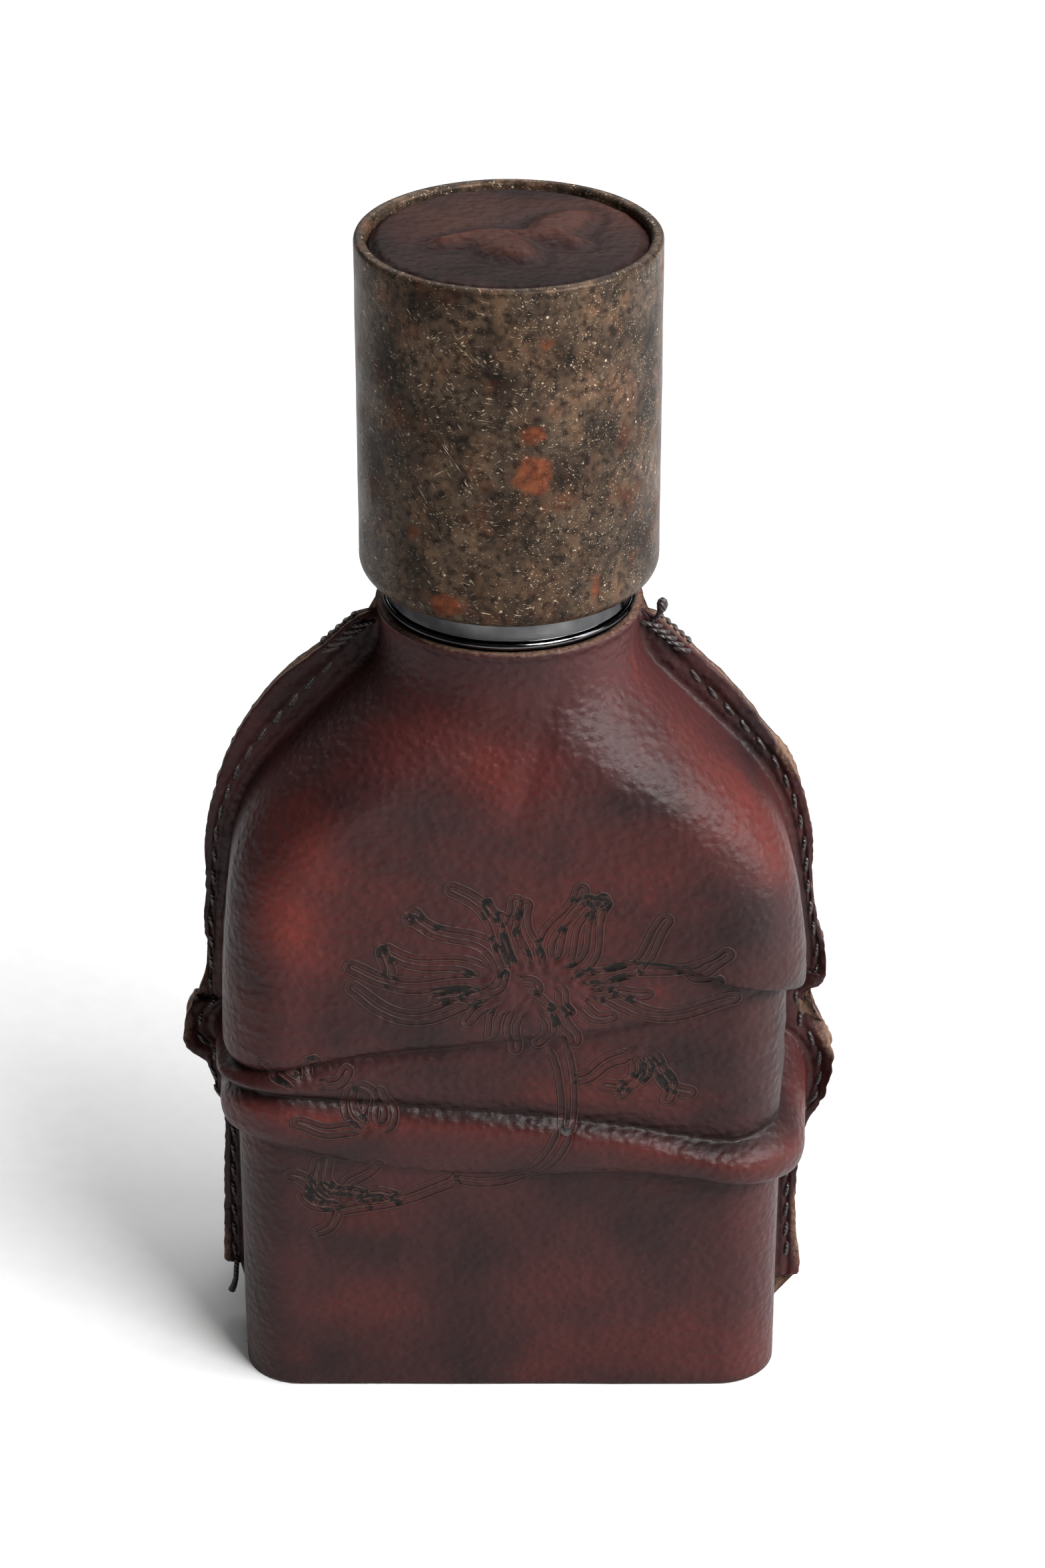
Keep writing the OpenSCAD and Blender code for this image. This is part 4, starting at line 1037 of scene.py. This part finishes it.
side_rise = [(cap_r, z) for z in np.linspace(cap_z + foot_r + 1, cap_top - rim_r - 1, 26)]
cap_profile = [(lip_r, cap_z + 0.25)] + bend(cap_r - foot_r, cap_z + foot_r, foot_r, -86, 0, 12) + side_rise
cap_profile += bend(cap_r - rim_r, cap_top - rim_r, rim_r, 0, 90, 6)
cap_profile += bend(recess_r + rim_r, cap_top - rim_r, rim_r, 90, 180, 6)
cap_profile += [(recess_r, recess_z + 0.06), (recess_r - 0.06, recess_z), (0.01, recess_z), (0.01, ceiling_z),
    (cap_in_r - 0.1, ceiling_z), (cap_in_r, ceiling_z - 0.1), (cap_in_r, cap_z + cap_wall + 1.5),
    (cap_in_r - 0.1, cap_z + cap_wall + 1.4), (lip_r, cap_z + 1.4)]
cap = turned("cap_shell_aged", cap_profile, tarnish, "cap", segments=256, wobble=0.05)
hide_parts("cap_shell")
dress(black_plastic, "cap_liner")


# ---------------------------------------------------------------- cap disc
# A round of dark brown leather, glued over a card into the cap's recess, with its edge skived
# and turned down. A plain sprig cut from thick leather lies under it and raises it.

disc_low, disc_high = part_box("cap_leather_disc")
disc_r = disc_high.x / MM
disc_z = disc_low.z / MM
disc_top = disc_z + 1.0
sprig_bend, sprig_half = 0.9 * disc_r, 0.9
sprig_sweep = math.radians(62)
leaf_long, leaf_r, leaf_off = 0.5 * disc_r, 0.42 * disc_r, 0.26 * disc_r


def leaf_distance(x, y, hand):
    """Distance outside one leaf of the sprig, less than 0 inside it."""
    a = math.radians(hand * 52)
    u = (x - hand * 0.2 * disc_r) * math.cos(a) + y * math.sin(a) - leaf_long / 2
    v = -(x - hand * 0.2 * disc_r) * math.sin(a) + y * math.cos(a)
    return np.log(np.exp(2 * np.hypot(u, v - leaf_off)) + np.exp(2 * np.hypot(u, v + leaf_off))) / 2 - leaf_r


def sprig_distance(x, y):
    r, turn = np.hypot(x, y + sprig_bend), np.arctan2(x, y + sprig_bend)
    past = np.maximum(np.abs(turn) - sprig_sweep / 2, 0) * sprig_bend
    stem = np.hypot(r - sprig_bend, past) - sprig_half
    near = np.exp(-2 * stem) + np.exp(-2 * leaf_distance(x, y, -1)) + np.exp(-2 * leaf_distance(x, y, 1))
    return -np.log(near) / 2


turns, rings = 300, 74
radii = np.linspace(0, disc_r - 0.02, rings)
r, a = np.meshgrid(radii, np.linspace(0, 2 * math.pi, turns, endpoint=False))
x, y = r * np.sin(a), -r * np.cos(a)
away = sprig_distance(x, y)
relief = 0.95 * ease((1.4 - away) / 3.0)
valley = -0.2 * np.exp(-((away - 1.7) / 0.7) ** 2)
puffed = 0.12 * lumps(x, y, 5, 5, 40.0) + 0.05 * lumps(x, y, 1.6, 0.8, 44.0)
cracks = -0.07 * np.maximum(0, 1 - np.abs(lumps(x, y, 4.5, 0.7, 47.0)) * 9) ** 2
slit = sum(np.exp(-((x - sx) * math.cos(t) + (y - sy) * math.sin(t)) ** 2 / 4.5
    - (-(x - sx) * math.sin(t) + (y - sy) * math.cos(t)) ** 2 / 0.12) for sx, sy, t in
    ((-disc_r * 0.42, -0.9, 0.45), (disc_r * 0.42, -0.9, -0.45)))
turned_down = -0.75 * ease((r - disc_r + 1.5) / 1.5) ** 1.5 * (1 + 0.35 * lumps(x, y, 3, 3, 51.0))
z = disc_top + relief + valley + puffed * ease((disc_r - r) / 2) + cracks - 0.5 * slit + turned_down
wear_and_shade = np.zeros(x.shape + (4,))
wear_and_shade[..., 0] = 0.5 * slit + 0.25 * ease((0.6 - away) / 1.2)
# Painted shade: darker in the slits, the cracks and the valley round the sprig.
wear_and_shade[..., 1] = 0.9 * slit + 0.5 * np.exp(-((away - 1.8) / 0.6) ** 2) + 6 * np.abs(cracks)
wear_and_shade = np.clip(wear_and_shade, 0, 1)
verts, shades, faces = [], [], []
for i in range(turns):
    for j in range(1, rings):
        verts.append((x[i, j], y[i, j], z[i, j]))
        shades.append(wear_and_shade[i, j])
ring_count = rings - 1
centre = len(verts)
verts.append((0, 0, z[0, 0]))
shades.append(wear_and_shade[0, 0])
for i in range(turns):
    i2 = (i + 1) % turns
    faces.append((centre, i * ring_count, i2 * ring_count))
    for j in range(ring_count - 1):
        a0, b0 = i * ring_count + j, i2 * ring_count + j
        faces.append((a0, a0 + 1, b0 + 1, b0))
rim_start = len(verts)
for i in range(turns):
    edge = verts[i * ring_count + ring_count - 1]
    verts.append((edge[0] * 0.995, edge[1] * 0.995, disc_z + 0.02))
    # The turned-down edge is raw, and darkened by painted shade.
    shades.append((0, 0.5, 0.4, 0))
for i in range(turns):
    i2 = (i + 1) % turns
    faces.append((i * ring_count + ring_count - 1, rim_start + i, rim_start + i2,
        i2 * ring_count + ring_count - 1))
faces.append([rim_start + i for i in range(turns)][::-1])
disc_leather = leather_finish("dark_leather", (0.008, 0.0045, 0.0042, 1), (0.022, 0.0115, 0.0105, 1),
    (0.10, 0.032, 0.02, 1), (0.16, 0.09, 0.06, 1), shine=0.04, wax=0.0)
disc = new_piece("cap_disc_leather", verts, faces, disc_leather, "cap", wear_and_shade=shades)
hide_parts("cap_leather_disc")

board, add = new_finish("backing_card", IOR=1.45)
pulp = fog(add, place(add, (1, 0.3, 1)), 0.5, detail=7.0)
surface(add, pulp, (0.22, 0.16, 0.11, 1), (0.38, 0.29, 0.2, 1),
    pulp, (0.8, 0.95), (0.05, 0.7))
dress(board, "cap_card", "cap_relief_core")


# ---------------------------------------------------------------- studio
# A pale floor, two large soft lights at the right, one high at the back right, and a wide one
# over the floor behind. None stands at the left, so the flask's left side is the darker one.

floor_mesh = bpy.data.meshes.new("studio_floor")
floor_mesh.from_pydata([(-4, -4, 0), (4, -4, 0), (4, 4, 0), (-4, 4, 0)], [], [(0, 1, 2, 3)])
paper, add = new_finish("studio_paper")
tooth = fog(add, place(add), 3.0, detail=4.0)
add("shader", {"Base Color": blend_of(add, tooth, (0.60, 0.60, 0.60, 1), (0.62, 0.62, 0.62, 1)),
    "Roughness": span(add, tooth, 0, 1, 0.7, 0.8)})
floor_mesh.materials.append(paper)
floor = bpy.data.objects.new("studio_floor", floor_mesh)
bpy.context.scene.collection.objects.link(floor)

world = bpy.data.worlds.new("studio")
bpy.context.scene.world = world
world.use_nodes = True
tree = world.node_tree
surround = tree.nodes["Background"]
surround.inputs["Color"].default_value = (1, 1, 1, 1)
surround.inputs["Strength"].default_value = 0.05
backdrop = tree.nodes.new("ShaderNodeBackground")
backdrop.inputs["Color"].default_value = (1, 1, 1, 1)
backdrop.inputs["Strength"].default_value = 1.0
seen = tree.nodes.new("ShaderNodeLightPath")
either = tree.nodes.new("ShaderNodeMixShader")
tree.links.new(seen.outputs["Is Camera Ray"], either.inputs[0])
tree.links.new(surround.outputs[0], either.inputs[1])
tree.links.new(backdrop.outputs[0], either.inputs[2])
tree.links.new(either.outputs[0], tree.nodes["World Output"].inputs["Surface"])

middle = Vector((0, 0, 0.075))


def softbox(name, azimuth, elevation, distance, width, height, power):
    """A soft rectangular light aimed at the flask. Azimuth 0 is in front and 90 at the right."""
    lamp = bpy.data.lights.new(name, "AREA")
    lamp.shape = "RECTANGLE"
    lamp.size, lamp.size_y, lamp.energy = width, height, power
    piece = bpy.data.objects.new(name, lamp)
    a, e = math.radians(azimuth), math.radians(elevation)
    away = Vector((math.sin(a) * math.cos(e), -math.cos(a) * math.cos(e), math.sin(e)))
    piece.location = middle + away * distance
    piece.rotation_euler = away.to_track_quat("Z", "Y").to_euler()
    bpy.context.scene.collection.objects.link(piece)


softbox("key_softbox", 42, 46, 0.9, 0.4, 0.42, 14.5)
softbox("right_softbox", 76, 26, 0.8, 0.3, 0.6, 8.0)
softbox("top_softbox", 128, 66, 1.0, 0.7, 0.5, 5.5)

# A wide light over the floor behind the flask, aimed straight down, keeps the background pale
behind = bpy.data.lights.new("background_light", "AREA")
behind.shape, behind.size, behind.size_y, behind.energy = "RECTANGLE", 3.0, 1.6, 60.0
behind_piece = bpy.data.objects.new("background_light", behind)
behind_piece.location = (0, 1.9, 1.5)
bpy.context.scene.collection.objects.link(behind_piece)

camera_data = bpy.data.cameras.new("camera")
camera_data.sensor_fit, camera_data.sensor_width, camera_data.sensor_height = "AUTO", 36, 36
camera_data.lens = 101.54
camera_data.clip_start, camera_data.clip_end = 0.01, 50
camera = bpy.data.objects.new("camera", camera_data)
camera.location = (0.00155, -0.4659, 0.3280)
aim = Vector((0.00155, 0, 0.0752)) - camera.location
camera.rotation_euler = aim.to_track_quat("-Z", "Y").to_euler()
bpy.context.scene.collection.objects.link(camera)
bpy.context.scene.camera = camera
bpy.context.scene.view_settings.view_transform = "Standard"
